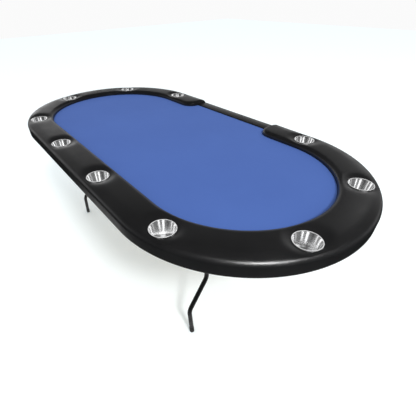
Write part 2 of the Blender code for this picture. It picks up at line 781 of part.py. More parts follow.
def make_leg_set(set_name, side):
    """One leg set; the set at -X is the same set turned half round."""
    turn = 0.0 if side > 0 else math.pi
    frame = pivot("leg_mount_" + set_name, (side * PIVOT_X, 0.0, PIVOT_HEIGHT), 0.0, None, turn)
    legs = pivot("leg_axis_" + set_name, (0.0, 0.0, 0.0), -LEG_LEAN, frame)

    bar_ends = [(0.0, -PIVOT_BAR_HALF, 0.0), (0.0, PIVOT_BAR_HALF, 0.0)]
    bar = tube("pivot_bar_" + set_name, bar_ends, PIVOT_BAR_RADIUS, TUBE_WALL, PAINTED_STEEL)
    bar.parent = legs
    bar_cutter = cylinder("bar_room_" + set_name, PIVOT_BAR_RADIUS + 0.0006, (0.0, -0.3, 0.0),
                          (0.0, 0.3, 0.0), sides=24)
    bar_cutter.parent = legs
    as_cutter(bar_cutter)

    for label, hand in (("player", -side), ("dealer", side)):
        make_leg_tube(f"leg_tube_{set_name}_{label}", hand, legs, bar_cutter)
        make_foot_cap(f"foot_cap_{set_name}_{label}", hand, legs)
    make_crossbar(set_name, legs)
    make_brace_bracket(set_name, frame)
    make_brace_links(set_name, frame, legs)

    make_leg_block(set_name, side)
    for label, y in (("player", -SADDLE_Y), ("dealer", SADDLE_Y)):
        make_saddle(f"pivot_saddle_{set_name}_{label}", side, y)


# ---------------------------------------------------------------- the table
def build_table():
    cups, bolts = make_hole_cutters()
    cup_cutter = join_as_cutter("cup_holes", cups)
    bolt_cutter = join_as_cutter("bolt_holes", bolts)
    make_boards(cup_cutter, bolt_cutter)
    make_rail(cup_cutter, bolt_cutter)
    make_dealer_strip()
    make_cups()
    make_rail_bolts()
    make_battens()
    make_leg_set("a", 1)
    make_leg_set("b", -1)
    bpy.context.view_layer.update()


build_table()
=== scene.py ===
"""Looks of the oval card table: padded vinyl rail, steel cup holders, blue cloth and folding legs.

Everything is in metres in the CAD frame: origin on the floor under the table's centre, +X along the
table towards leg set a, +Y towards the dealer's cutout.
"""
import json
import math
import random

import bmesh
import bpy
import numpy as np
from mathutils import Matrix, Vector, noise


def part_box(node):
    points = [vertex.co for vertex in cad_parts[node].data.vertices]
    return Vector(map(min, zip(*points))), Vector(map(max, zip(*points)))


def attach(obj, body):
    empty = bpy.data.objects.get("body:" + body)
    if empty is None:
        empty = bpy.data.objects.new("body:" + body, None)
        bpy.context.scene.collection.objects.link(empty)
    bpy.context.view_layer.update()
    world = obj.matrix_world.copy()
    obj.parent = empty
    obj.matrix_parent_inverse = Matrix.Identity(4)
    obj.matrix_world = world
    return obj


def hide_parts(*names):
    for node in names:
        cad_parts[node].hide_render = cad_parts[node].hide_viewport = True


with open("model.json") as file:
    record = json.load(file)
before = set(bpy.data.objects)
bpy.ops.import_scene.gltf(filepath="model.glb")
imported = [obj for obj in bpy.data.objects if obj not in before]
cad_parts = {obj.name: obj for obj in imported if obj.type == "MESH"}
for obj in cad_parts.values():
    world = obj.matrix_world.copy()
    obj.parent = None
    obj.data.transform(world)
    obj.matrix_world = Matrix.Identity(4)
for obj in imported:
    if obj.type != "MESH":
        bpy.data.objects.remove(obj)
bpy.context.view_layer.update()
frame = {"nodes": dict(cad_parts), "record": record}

# ---------------------------------------------------------------- sizes taken from the frame
RAIL_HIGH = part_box("rail_cover")[1]
CLOTH_LOW, CLOTH_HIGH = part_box("playing_cloth")
STRIP_LOW, STRIP_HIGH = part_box("dealer_strip_cover")
CUP_LOW, CUP_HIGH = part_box("cup_holder_01")

END_RADIUS = RAIL_HIGH[1]
STRAIGHT_HALF = RAIL_HIGH[0] - END_RADIUS
INNER_RADIUS = -CLOTH_LOW[1] + 0.0006
CUTOUT_HALF = STRIP_HIGH[0] + 0.0006
STRIP_INNER_Y = STRIP_LOW[1]
CLOTH_TOP = CLOTH_HIGH[2]
BOARD_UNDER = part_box("base_board")[0][2]
FOAM_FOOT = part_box("rail_foam")[0][2]
RIM_TOP = CUP_HIGH[2]
CUP_FLOOR = CUP_LOW[2]
RIM_RADIUS = (CUP_HIGH[0] - CUP_LOW[0]) / 2

# the padded rail's section
CURL_RADIUS = 0.075              # plan radius of the rail ends' inner corners
CURL_X = CUTOUT_HALF + CURL_RADIUS
CURL_Y = INNER_RADIUS + CURL_RADIUS
CORNER_RADIUS = 0.018            # plan radius of the rail ends' outer corners
SHOULDER_OUT = 0.015             # rounding at the outer edge, inwards and down
FALL_OUT = 0.0105                # the padding's broad fall towards that rounding
FALL_REACH = 0.062               # and how far in it starts
UNDER_ROLL = 0.0045              # rounding where the wall turns under the table
SHOULDER_IN = 0.021              # rounding at the inner edge: how far it reaches
DROP_IN = 0.0165                 # and how far it drops
CROWN = 0.0026                   # extra height in the middle of the rail
RAIL_CREST = RIM_TOP + 0.0045
DIMPLE_FLOOR = RIM_TOP - 0.0024  # height of the vinyl where it passes under a cup's rim
DIMPLE_REACH = 0.0240            # how far out the vinyl is pulled down round a cup
TUCK_RADIUS = 0.0452             # the vinyl's hole round a cup, hidden under the rim
TUCK_DEPTH = 0.007               # how far the vinyl turns down into that hole
RIM_COVER = 0.0485               # inside this radius the vinyl lies fully pulled down
VINYL_THICK = 0.0009
PADDING_INSET = 0.0022           # the padding lies this far inside the vinyl
SILL_TUCK = 0.020                # how far the dealer's sill runs under the rail's ends
SILL_RISE = 0.0058               # and how far it stands above the cloth
SECTION_STEP = 0.0058            # spacing of the rail's cross-sections
WALL_SHARES = np.linspace(0.0, 1.0, 7)[:-1]

# the studio: a pale floor, and a sky that shows differently in matt and in shiny surfaces
FLOOR_COLOUR = (0.88, 0.92, 0.93)
FLOOR_LIFT = (0.075, 0.11, 0.125)  # faint cool light added to the floor, as from a white room
FLOOR_NEAR = 1.10                # strength of the painted glow that stands for the floor in reflections, right below the table's edge
FLOOR_AWAY = 0.015               # and further out
FLOOR_FADE = (0.05, 0.50)        # between these distances from the edge
SKY_DIFFUSE = 1.20               # light on matt surfaces
SKY_SEEN = 1.2                   # what the camera sees
SKY_DIM = 0.07                   # in reflections: high up
SKY_HORIZON = 1.25               # and low down
BEYOND_END = (-0.98, 0.17, 0.0)  # the low sky is brighter beyond the table's far end
CAMERA_SIDE = (0.84, -0.54, 0.0)  # and dim on the camera's side

# upright streaks painted as a glow on the cups in place of reflected windows: direction and half width in
# degrees, brightness
PAINTED_STEEL_STREAKS = ((-45, 13, 1.8), (8, 11, 1.5), (150, 14, 1.5), (205, 10, 1.1), (95, 8, 0.8))

# the camera, fitted to the table's outline and cup rims
CAMERA_PLACE = (1.309, -0.848, 1.355)
CAMERA_AZIMUTH = 53.97
CAMERA_ELEVATION = 39.24
CAMERA_ROLL = -1.546
CAMERA_LENS = 25.185             # millimetres, on a 36 mm wide sensor
CAMERA_SHIFT = (0.0622, 0.0483)

LEG_SETS = (("a", 1), ("b", -1))
SIDES = (("player", -1), ("dealer", 1))

RNG = random.Random(11)


# ---------------------------------------------------------------- small helpers
def in_scene(name, data):
    obj = bpy.data.objects.new(name, data)
    bpy.context.scene.collection.objects.link(obj)
    return obj


def add_mesh(name, verts, faces, material=None, smooth=True):
    """A new object in the scene from points and faces."""
    mesh = bpy.data.meshes.new(name)
    mesh.from_pydata([tuple(v) for v in verts], [], faces)
    mesh.validate()
    mesh.update()
    obj = in_scene(name, mesh)
    if material is not None:
        mesh.materials.append(material)
    if smooth:
        mesh.shade_smooth()
    return obj


def skinned(name, rows, material, closed=True, flip=False, loop=False):
    """A surface over rows of points, each joined to the next and, in a loop, the last to the first."""
    verts = []
    rings = []
    for row in rows:
        rings.append(range(len(verts), len(verts) + len(row)))
        verts.extend(row)
    if loop:
        rings.append(rings[0])
    faces = []
    for here, there in zip(rings, rings[1:]):
        for index in range(len(here) if closed else len(here) - 1):
            after = (index + 1) % len(here)
            quad = (here[index], here[after], there[after], there[index])
            faces.append((quad[0], *quad[:0:-1]) if flip else quad)
    return add_mesh(name, verts, faces, material)


def store(shape, obj):
    """Put a finished bmesh into an object."""
    shape.to_mesh(obj.data)
    shape.free()
    return obj


def add_blocks(name, matrices, material=None):
    """One object with a block for each matrix."""
    shape = bmesh.new()
    for matrix in matrices:
        bmesh.ops.create_cube(shape, size=1.0, matrix=matrix)
    return store(shape, add_mesh(name, [], [], material, smooth=False))


def sharpen(obj, angle=40.0):
    obj.data.set_sharp_from_angle(angle=math.radians(angle))
    return obj


def face_outwards(obj, merge=0.0):
    """Turn every face outwards, first merging points that meet if asked to."""
    shape = bmesh.new()
    shape.from_mesh(obj.data)
    if merge:
        bmesh.ops.remove_doubles(shape, verts=shape.verts, dist=merge)
    bmesh.ops.recalc_face_normals(shape, faces=shape.faces)
    return store(shape, obj)


def finish_piece(obj, body, slot, *replaced):
    """Fix a piece to a body and hide the CAD nodes it stands for; slot, the kind of material, is not used.
    """
    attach(obj, body)
    if replaced:
        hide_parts(*replaced)
    return obj


def box_centre(node):
    low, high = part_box(node)
    return [(a + b) / 2 for a, b in zip(low, high)]


def joint_place(name):
    """Where a joint of the record sits."""
    return next(j["pos_m"] for j in frame["record"]["behaviour"]["joints"] if j["name"] == name)


def keep_node(name, material, soft_edge=0.0):
    """A CAD node that stays: its material and, where given, rounded edges; its mesh is not touched."""
    obj = frame["nodes"][name]
    obj.data.materials.clear()
    obj.data.materials.append(material)
    for face in obj.data.polygons:
        face.material_index = 0
    if soft_edge:
        modifier = obj.modifiers.new("soft_edges", "BEVEL")
        modifier.width = soft_edge
        modifier.segments = 2
        modifier.limit_method = "ANGLE"
        modifier.angle_limit = math.radians(40)


# ---------------------------------------------------------------- materials
class Nodes:
    """Makes, links and combines the nodes of one tree."""

    def __init__(self, tree):
        self.tree = tree

    def node(self, kind, **settings):
        made = self.tree.nodes.new("ShaderNode" + kind)
        for key, value in settings.items():
            if key in made.inputs.keys():
                made.inputs[key].default_value = value
            else:
                setattr(made, key, value)
        return made

    def link(self, source, target):
        self.tree.links.new(source, target)

    def ramp(self, value, low, high, out_low=0.0, out_high=1.0, soft=False):
        made = self.node("MapRange", interpolation_type="SMOOTHSTEP" if soft else "LINEAR")
        for key, number in zip(("From Min", "From Max", "To Min", "To Max"), (low, high, out_low, out_high)):
            made.inputs[key].default_value = number
        self.link(value, made.inputs["Value"])
        return made.outputs["Result"]

    def math(self, operation, first, second):
        made = self.node("Math", operation=operation)
        for socket, value in zip(made.inputs, (first, second)):
            if isinstance(value, (int, float)):
                socket.default_value = value
            else:
                self.link(value, socket)
        return made.outputs["Value"]

    def parts(self, vector):
        made = self.node("SeparateXYZ")
        self.link(vector, made.inputs["Vector"])
        return made.outputs

    def along(self, vector, direction):
        """How far a vector points in a direction."""
        made = self.node("VectorMath", operation="DOT_PRODUCT")
        self.link(vector, made.inputs[0])
        made.inputs[1].default_value = direction
        return made.outputs["Value"]

    def glow(self, strength, kind="Emission"):
        """A shader that shines with a worked-out strength."""
        made = self.node(kind)
        self.link(strength, made.inputs["Strength"])
        return made.outputs[kind]

    def either(self, amount, first, second):
        """The first shader where the amount is 0, the second where it is 1."""
        made = self.node("MixShader")
        for socket, value in zip(made.inputs, (amount, first, second)):
            self.link(value, socket)
        return made.outputs["Shader"]


class Shader(Nodes):
    """A Principled material and the nodes that feed it."""

    def __init__(self, name, colour, roughness, metallic=0.0):
        self.material = bpy.data.materials.new(name)
        self.material.use_nodes = True
        super().__init__(self.material.node_tree)
        self.main = self.tree.nodes["Principled BSDF"]
        self.fixed({"Base Color": (*colour, 1.0), "Roughness": roughness, "Metallic": metallic})
        self.coords = self.node("TexCoord")

    def fixed(self, settings):
        for key, value in settings.items():
            self.main.inputs[key].default_value = value

    def texture(self, kind, output="Fac", stretch=(1.0, 1.0, 1.0), turn=0.0, **settings):
        """A texture in the piece's own space, which can be stretched and turned round Z."""
        made = self.node("Tex" + kind, **settings)
        mapping = self.node("Mapping", Scale=stretch, Rotation=(0.0, 0.0, math.radians(turn)))
        self.link(self.coords.outputs["Object"], mapping.inputs["Vector"])
        self.link(mapping.outputs["Vector"], made.inputs["Vector"])
        return made.outputs[output]

    def noise(self, scale, detail=2.0, rough=0.5, stretch=(1.0, 1.0, 1.0)):
        return self.texture("Noise", stretch=stretch, Scale=scale, Detail=detail, Roughness=rough)

    def mix(self, amount, first, second):
        made = self.node("Mix", data_type="RGBA")
        self.link(amount, made.inputs["Factor"])
        for socket, value in ((made.inputs["A"], first), (made.inputs["B"], second)):
            if isinstance(value, tuple):
                socket.default_value = (*value, 1.0)
            else:
                self.link(value, socket)
        return made.outputs["Result"]

    def colour(self, socket):
        self.link(socket, self.main.inputs["Base Color"])

    def roughness(self, socket):
        self.link(socket, self.main.inputs["Roughness"])

    def bump(self, height, distance, strength=1.0, below=None):
        made = self.node("Bump", Distance=distance, Strength=strength)
        self.link(height, made.inputs["Height"])
        if below is not None:
            self.link(below, made.inputs["Normal"])
        self.link(made.outputs["Normal"], self.main.inputs["Normal"])
        return made.outputs["Normal"]


def vinyl_material(name, roughness):
    """Black leatherette: fine pebbled grain, slight gloss changes and a faint dusty bloom."""
    colour = (0.0062, 0.0062, 0.0067)
    s = Shader(name, colour, roughness)
    cells = s.texture("Voronoi", "Distance", feature="DISTANCE_TO_EDGE", Scale=620.0)
    pebbles = s.ramp(cells, 0.0, 0.35)
    grain = s.math("ADD", pebbles, s.math("MULTIPLY", s.noise(2600.0, 3.0), 0.35))
    soft = s.bump(s.noise(9.0, 2.0, 0.45), 0.0008, 0.20)
    s.bump(grain, 0.00005, 0.30, soft)
    bloom = s.ramp(s.noise(5.0, 4.0, 0.6), 0.35, 0.75)
    lighter = tuple(c * 1.35 for c in colour)
    s.colour(s.mix(bloom, colour, lighter))
    patches = s.ramp(s.noise(14.0, 3.0), 0.3, 0.7, roughness - 0.035, roughness + 0.045)
    s.roughness(s.math("ADD", patches, s.math("MULTIPLY", s.noise(900.0, 1.0), 0.03)))
    s.fixed({"Specular IOR Level": 0.40})
    return s.material


def tinted(colour, *factors):
    return tuple(part * factor for part, factor in zip(colour, factors))


def cloth_material():
    """Blue speed cloth: a close twill weave, faint nap and slow changes of shade."""
    base = (0.061, 0.1195, 0.360)
    s = Shader("speed_cloth", base, 0.82)
    weave = [s.texture("Wave", turn=turn, bands_direction="X", Scale=560.0) for turn in (35, -55)]
    threads = s.math("MULTIPLY", *weave)
    fuzz = s.noise(3000.0, 2.0)
    slack = s.bump(s.noise(3.5, 2.0), 0.0006, 0.25)
    s.bump(s.math("ADD", threads, s.math("MULTIPLY", fuzz, 0.5)), 0.00008, 0.5, slack)
    shade = s.ramp(s.noise(2.2, 4.0, 0.6), 0.3, 0.7)
    slow = s.mix(shade, tinted(base, 0.95, 0.95, 0.96), tinted(base, 1.04, 1.04, 1.03))
    fleck = s.ramp(s.math("MULTIPLY", threads, fuzz), 0.1, 0.5, 0.0, 0.35)
    s.colour(s.mix(fleck, slow, tinted(base, 0.82, 0.84, 0.88)))
    s.fixed({"Sheen Weight": 0.02, "Sheen Roughness": 0.5, "Sheen Tint": (0.55, 0.65, 0.9, 1.0),
             "Specular IOR Level": 0.10})
    return s.material


def steel_material():
    """Drawn stainless: brushed, so that what it mirrors is smeared upright, and whiter at the rim.

    Where the steel shows in another glossy surface, mostly the cup's own opposite wall, it is a painted
    reflection: a plain glow with upright streaks, as from tall windows; that keeps the inside of a cup clean
    and bright.
    """
    s = Shader("brushed_steel", (0.86, 0.865, 0.87), 0.2, 1.0)
    tangent = s.node("Tangent", direction_type="RADIAL", axis="Z")
    s.link(tangent.outputs["Tangent"], s.main.inputs["Tangent"])
    s.fixed({"Anisotropic": 0.8, "Anisotropic Rotation": 0.25})
    brushed = s.ramp(s.noise(90.0, 4.0, 0.7, (1.0, 1.0, 0.2)), 0.35, 0.75, 0.20, 0.25)
    haze = s.ramp(s.noise(35.0, 3.0), 0.4, 0.8)
    s.colour(s.mix(haze, (0.88, 0.885, 0.89), (0.80, 0.805, 0.82)))

    place = s.parts(s.coords.outputs["Object"])
    worn = s.ramp(place["Z"], CUP_FLOOR + 0.0035, CUP_FLOOR + 0.0075, 0.25, 0.0)
    s.roughness(s.math("ADD", brushed, worn))
    s.link(s.ramp(place["Z"], RIM_TOP - 0.0016, RIM_TOP - 0.0006, 1.0, 0.35), s.main.inputs["Metallic"])

    level = s.node("CombineXYZ")
    s.link(place["X"], level.inputs["X"])
    s.link(place["Y"], level.inputs["Y"])
    outward = s.node("VectorMath", operation="NORMALIZE")
    s.link(level.outputs["Vector"], outward.inputs[0])
    # painted reflection: a faint glow and upright streaks, shown only to glossy rays in place of mirrored
    # windows
    glow = s.ramp(s.noise(28.0, 1.0, 0.5, (1.0, 1.0, 0.0)), 0.35, 0.65, 0.06, 0.24)
    for turn, half_width, strength in PAINTED_STEEL_STREAKS:
        middle = (math.cos(math.radians(turn)), math.sin(math.radians(turn)), 0.0)
        edge = math.cos(math.radians(half_width))
        full = (1 + 2 * edge) / 3
        painted_streak = s.ramp(s.along(outward.outputs["Vector"], middle), edge, full, 0.0, strength)
        glow = s.math("MAXIMUM", glow, painted_streak)
    light = s.glow(glow)
    glossy = s.node("LightPath").outputs["Is Glossy Ray"]
    both = s.either(glossy, s.main.outputs["BSDF"], light)
    s.link(both, s.tree.nodes["Material Output"].inputs["Surface"])
    s.material.cycles.emission_sampling = "NONE"
    return s.material


def powder_material():
    """Black powder coat: fine orange peel, greyer where handling has rubbed the edges."""
    black = (0.0045, 0.0045, 0.0048)
    s = Shader("powder_coat", black, 0.45)
    peel = s.bump(s.noise(750.0, 2.0), 0.00012, 0.45)
    s.bump(s.noise(4200.0, 1.0), 0.00004, 0.3, peel)
    geometry = s.node("NewGeometry")
    edges = s.ramp(geometry.outputs["Pointiness"], 0.52, 0.60)
    worn = s.math("MULTIPLY", edges, s.ramp(s.noise(160.0, 4.0, 0.65), 0.45, 0.62, 0.0, 0.55))
    s.colour(s.mix(worn, black, (0.10, 0.10, 0.105)))
    s.roughness(s.ramp(s.noise(45.0, 3.0), 0.3, 0.7, 0.40, 0.52))
    s.fixed({"Specular IOR Level": 0.25})
    return s.material


def zinc_material():
    """Zinc plate: pale grey metal with a patchy passivated bloom."""
    s = Shader("zinc_plate", (0.55, 0.56, 0.57), 0.32, 1.0)
    bloom = s.ramp(s.noise(240.0, 4.0, 0.6), 0.35, 0.7)
    s.colour(s.mix(bloom, (0.50, 0.51, 0.53), (0.63, 0.62, 0.60)))
    s.roughness(s.ramp(s.noise(500.0, 3.0), 0.3, 0.7, 0.24, 0.45))
    s.bump(s.noise(1800.0, 2.0), 0.00004, 0.4)
    return s.material


def rubber_material():
    """Matt black rubber with a moulded, slightly dusty surface."""
    s = Shader("moulded_rubber", (0.012, 0.012, 0.012), 0.72)
    dust = s.ramp(s.noise(110.0, 5.0, 0.65), 0.45, 0.75, 0.0, 0.6)
    s.colour(s.mix(dust, (0.010, 0.010, 0.010), (0.045, 0.043, 0.040)))
    s.roughness(s.ramp(s.noise(200.0, 3.0), 0.3, 0.7, 0.62, 0.82))
    s.bump(s.noise(1500.0, 3.0), 0.0001, 0.5)
    return s.material


def wood_material(name, light, dark, grain_stretch):
    """Planed timber: long fibres, growth rings and small pores along one axis."""
    s = Shader(name, light, 0.55)
    warp = s.noise(5.0, 4.0, 0.55, grain_stretch)
    rings = s.texture("Wave", stretch=grain_stretch, bands_direction="DIAGONAL", Scale=26.0,
                      Distortion=7.0, Detail=3.0)
    fibres = s.noise(420.0, 3.0, 0.6, grain_stretch)
    pores = s.ramp(s.noise(900.0, 2.0, 0.5, grain_stretch), 0.60, 0.72, 0.0, 0.5)
    figure = s.math("ADD", s.math("MULTIPLY", rings, 0.45), s.math("MULTIPLY", fibres, 0.35))
    figure = s.math("ADD", figure, s.math("MULTIPLY", warp, 0.25))
    body = s.mix(s.ramp(figure, 0.25, 0.85), light, dark)
    s.colour(s.mix(pores, body, tuple(c * 0.5 for c in dark)))
    s.bump(s.math("ADD", fibres, s.math("MULTIPLY", pores, -0.6)), 0.0002, 0.35)
    s.roughness(s.ramp(fibres, 0.3, 0.7, 0.49, 0.63))
    return s.material


def ply_material():
    """Plywood: rotary-cut face veneer, with the laminations showing on upright edges."""
    light = (0.50, 0.36, 0.21)
    dark = (0.36, 0.235, 0.125)
    s = Shader("plywood", light, 0.6)
    stretch = (0.10, 1.0, 1.0)
    figure = s.texture("Wave", stretch=(0.16, 1.0, 0.4), wave_type="RINGS", Scale=5.0,
                       Distortion=16.0, Detail=4.0)
    fibres = s.noise(260.0, 3.0, 0.6, stretch)
    face = s.math("ADD", s.math("MULTIPLY", figure, 0.5), s.math("MULTIPLY", fibres, 0.5))
    veneer = s.mix(s.ramp(face, 0.25, 0.8), light, dark)
    layers = s.texture("Wave", bands_direction="Z", Scale=52.0, Distortion=0.3)
    edge = s.mix(s.ramp(layers, 0.42, 0.58), (0.24, 0.145, 0.07), (0.52, 0.37, 0.22))
    facing = s.parts(s.node("NewGeometry").outputs["Normal"])
    flat = s.ramp(s.math("ABSOLUTE", facing["Z"], 0.0), 0.45, 0.75)
    s.colour(s.mix(flat, edge, veneer))
    s.bump(fibres, 0.0002, 0.35)
    return s.material


def foam_material():
    """Cut upholstery foam: pale, open-celled and matt."""
    s = Shader("upholstery_foam", (0.74, 0.71, 0.62), 0.92)
    cells = s.texture("Voronoi", "Distance", feature="F1", Scale=900.0)
    tone = s.ramp(s.noise(25.0, 3.0), 0.3, 0.7)
    s.colour(s.mix(tone, (0.76, 0.73, 0.65), (0.68, 0.63, 0.50)))
    s.bump(cells, 0.0004, 0.6)
    return s.material


VINYL = vinyl_material("vinyl_leatherette", 0.33)
STRIP_VINYL = vinyl_material("strip_leatherette", 0.30)
CLOTH = cloth_material()
STEEL = steel_material()
POWDER = powder_material()
ZINC = zinc_material()
RUBBER = rubber_material()
PLY = ply_material()
HARDWOOD_Y = wood_material("hardwood_block", (0.44, 0.27, 0.14), (0.27, 0.15, 0.07), (1.0, 0.07, 1.0))
HARDWOOD_X = wood_material("hardwood_batten", (0.47, 0.30, 0.16), (0.30, 0.17, 0.08), (0.07, 1.0, 1.0))
FOAM = foam_material()


# ---------------------------------------------------------------- the rail's plan
CUP_CENTRES = [tuple(box_centre(f"cup_holder_{number:02d}")[:2]) for number in range(1, 11)]


def outer_distance(x, y):
    """Distance inwards from the table's outline."""
    along = np.clip(x, -STRAIGHT_HALF, STRAIGHT_HALF)
    return END_RADIUS - np.hypot(x - along, y)


def inner_distance(x, y):
    """Distance outwards from the rail's inner edge, which curls round at the dealer's cutout."""
    to_oval = END_RADIUS - outer_distance(x, y) - INNER_RADIUS
    to_end = np.where(y > 0, np.abs(x) - CUTOUT_HALF, 1.0)
    in_curl = (y > 0) & (np.abs(x) < CURL_X) & (y < CURL_Y)
    to_curl = CURL_RADIUS - np.hypot(CURL_X - np.abs(x), CURL_Y - y)
    return np.where(in_curl, to_curl, np.minimum(to_oval, to_end))


def quarter(amount):
    """Height of a quarter round at a share of its width: 0 at the edge, 1 where it is flat."""
    amount = np.clip(amount, 0.0, 1.0)
    return np.sqrt(np.maximum(0.0, 1.0 - (1.0 - amount) ** 2))


def rail_height(x, y, sink=0.0):
    """Height of the padded rail's top at a plan point."""
    outer = np.maximum(outer_distance(x, y) - sink, 0.0)
    inner = np.maximum(inner_distance(x, y) - sink, 0.0)
    middle = (outer - inner) / np.maximum(outer + inner, 1e-6)
    height = RAIL_CREST + CROWN * (1.0 - middle ** 2)
    height = height - SHOULDER_OUT * (1.0 - quarter(outer / SHOULDER_OUT))
    height = height - FALL_OUT * np.clip(1.0 - outer / FALL_REACH, 0.0, 1.0) ** 2
    height = height - DROP_IN * (1.0 - quarter(inner / SHOULDER_IN))
    for cup_x, cup_y in CUP_CENTRES:
        away = np.maximum(np.hypot(x - cup_x, y - cup_y) - RIM_COVER, 0.0)
        pull = np.exp(-(away / DIMPLE_REACH) ** 1.6)
        height = height + (np.minimum(DIMPLE_FLOOR, height) - height) * pull
    return height - sink


def arc_points(centre_x, centre_y, radius, start, end, count):
    angles = np.radians(np.linspace(start, end, count))
    return np.stack([centre_x + radius * np.cos(angles), centre_y + radius * np.sin(angles)], 1)


def line_points(start, end, count):
    share = np.linspace(0.0, 1.0, count)[:, None]
    return np.array(start) * (1 - share) + np.array(end) * share


def resample(points, count):
    """Points spread evenly along a chain."""
    steps = np.hypot(*np.diff(points, axis=0).T)
    along = np.concatenate([[0.0], np.cumsum(steps)])
    wanted = np.linspace(0.0, along[-1], count)
    return np.stack([np.interp(wanted, along, points[:, axis]) for axis in (0, 1)], 1)


def rail_edges(inset=0.0):
    """Matching points along the rail's outer and inner edges, from the +X cutout end round to the other."""
    end_x = CUTOUT_HALF + inset
    corner_x = CUTOUT_HALF + CORNER_RADIUS
    corner_y = END_RADIUS - CORNER_RADIUS
    outer_y = END_RADIUS - inset
    inner_y = INNER_RADIUS + inset
    mid_y = corner_y - 0.012
    fan_x = CURL_X + 0.012
    fan = 34
    outer_fan = np.concatenate([
        line_points((end_x, mid_y), (end_x, corner_y), 6),
        arc_points(corner_x, corner_y, CORNER_RADIUS - inset, 180, 90, 12)[1:],
        line_points((corner_x, outer_y), (fan_x, outer_y), 14)[1:]])
    inner_fan = np.concatenate([
        line_points((end_x, mid_y), (end_x, CURL_Y), 6),
        arc_points(CURL_X, CURL_Y, CURL_RADIUS - inset, 180, 270, 24)[1:],
        line_points((CURL_X, inner_y), (fan_x, inner_y), 5)[1:]])
    outer_end = resample(outer_fan, fan)
    inner_end = resample(inner_fan, fan)

    straight = int((STRAIGHT_HALF - fan_x) / SECTION_STEP) + 1
    half = int(math.pi * END_RADIUS / SECTION_STEP)
    long = int(2 * STRAIGHT_HALF / SECTION_STEP)
    chains = []
    for reach, y in ((END_RADIUS - inset, outer_y), (INNER_RADIUS + inset, inner_y)):
        chains.append(np.concatenate([
            line_points((fan_x, y), (STRAIGHT_HALF, y), straight)[1:],
            arc_points(STRAIGHT_HALF, 0.0, reach, 90, -90, half)[1:],
            line_points((STRAIGHT_HALF, -y), (-STRAIGHT_HALF, -y), long)[1:],
            arc_points(-STRAIGHT_HALF, 0.0, reach, 270, 90, half)[1:],
            line_points((-STRAIGHT_HALF, y), (-fan_x, y), straight)[1:]]))
    mirror = np.array([-1.0, 1.0])
    outer = np.concatenate([outer_end, chains[0], outer_end[::-1][1:] * mirror])
    inner = np.concatenate([inner_end, chains[1], inner_end[::-1][1:] * mirror])
    return outer, inner, fan


def across_shares(width):
    """Where the points of a cross-section lie, as shares of its width, closer at both shoulders."""
    outer = 1.0 - np.cos(np.linspace(0.0, math.pi / 2, 13))
    inner = 1.0 - np.cos(np.linspace(0.0, math.pi / 2, 9))
    full = SHOULDER_OUT + SHOULDER_IN
    scale = min(1.0, width / (full * 1.6 + 1e-9))
    out_part = outer * SHOULDER_OUT * scale
    in_part = width - inner[::-1] * SHOULDER_IN * scale
    middle = np.linspace(out_part[-1], in_part[0], 20)[1:-1]
    return np.concatenate([out_part, middle, in_part]) / max(width, 1e-9)


def outer_wall(start, inward, reach, foot, top, under_roll):
    """Points up the rail's outer wall, from where it is tucked under the table to the shoulder."""
    roll = min(under_roll, reach / 2)
    points = []
    if under_roll:
        tuck = min(2 * under_roll, reach / 2)
        points.append((*(start + inward * (roll + tuck)), foot + under_roll * 0.4))
    low = foot + under_roll
    for share in (0.0, 0.15, 0.3, 0.45, 0.6, 0.75, 0.9):
        turn = math.pi / 2 * share
        x, y = start + inward * roll * (1 - math.sin(turn))
        points.append((x, y, low - under_roll * math.cos(turn)))
    return points + [(*start, low + (top - low) * share) for share in WALL_SHARES]


def rail_shell(name, inset, outer_foot, inner_foot, under_roll, material):
    """The open padded shell of the rail: outer wall, rounded top and inner wall."""
    outer, inner, fan = rail_edges(inset)
    feet = np.full(len(outer), outer_foot)
    ease = np.clip(np.arange(fan) / 7.0, 0.0, 1.0)
    feet[:fan] = inner_foot + (outer_foot - inner_foot) * ease
    feet[-fan:] = feet[:fan][::-1]
    rows = []
    for start, end, foot in zip(outer, inner, feet):
        reach = float(np.hypot(*(end - start)))
        inward = (end - start) / reach if reach > 1e-6 else np.array([math.copysign(1.0, start[0]), 0.0])
        shares = across_shares(reach)[:, None]
        plan = start * (1 - shares) + end * shares
        top = np.maximum(rail_height(plan[:, 0], plan[:, 1], inset), min(outer_foot, inner_foot))
        wall = outer_wall(start, inward, reach, foot, top[0], under_roll)
        crest = [(x, y, z) for (x, y), z in zip(plan, top)]
        inner_wall = [(*end, inner_foot + (top[-1] - inner_foot) * share) for share in WALL_SHARES[::-1]]
        rows.append(wall + crest + inner_wall)
    shell = skinned(name, rows, material, closed=False)
    open_cup_holes(shell, inset)
    return shell


def nearest_cup(spot):
    """The centre of the cup nearest to a point, and how far away it is."""
    away, centre = min((math.hypot(spot.x - x, spot.y - y), (x, y)) for x, y in CUP_CENTRES)
    return centre, away


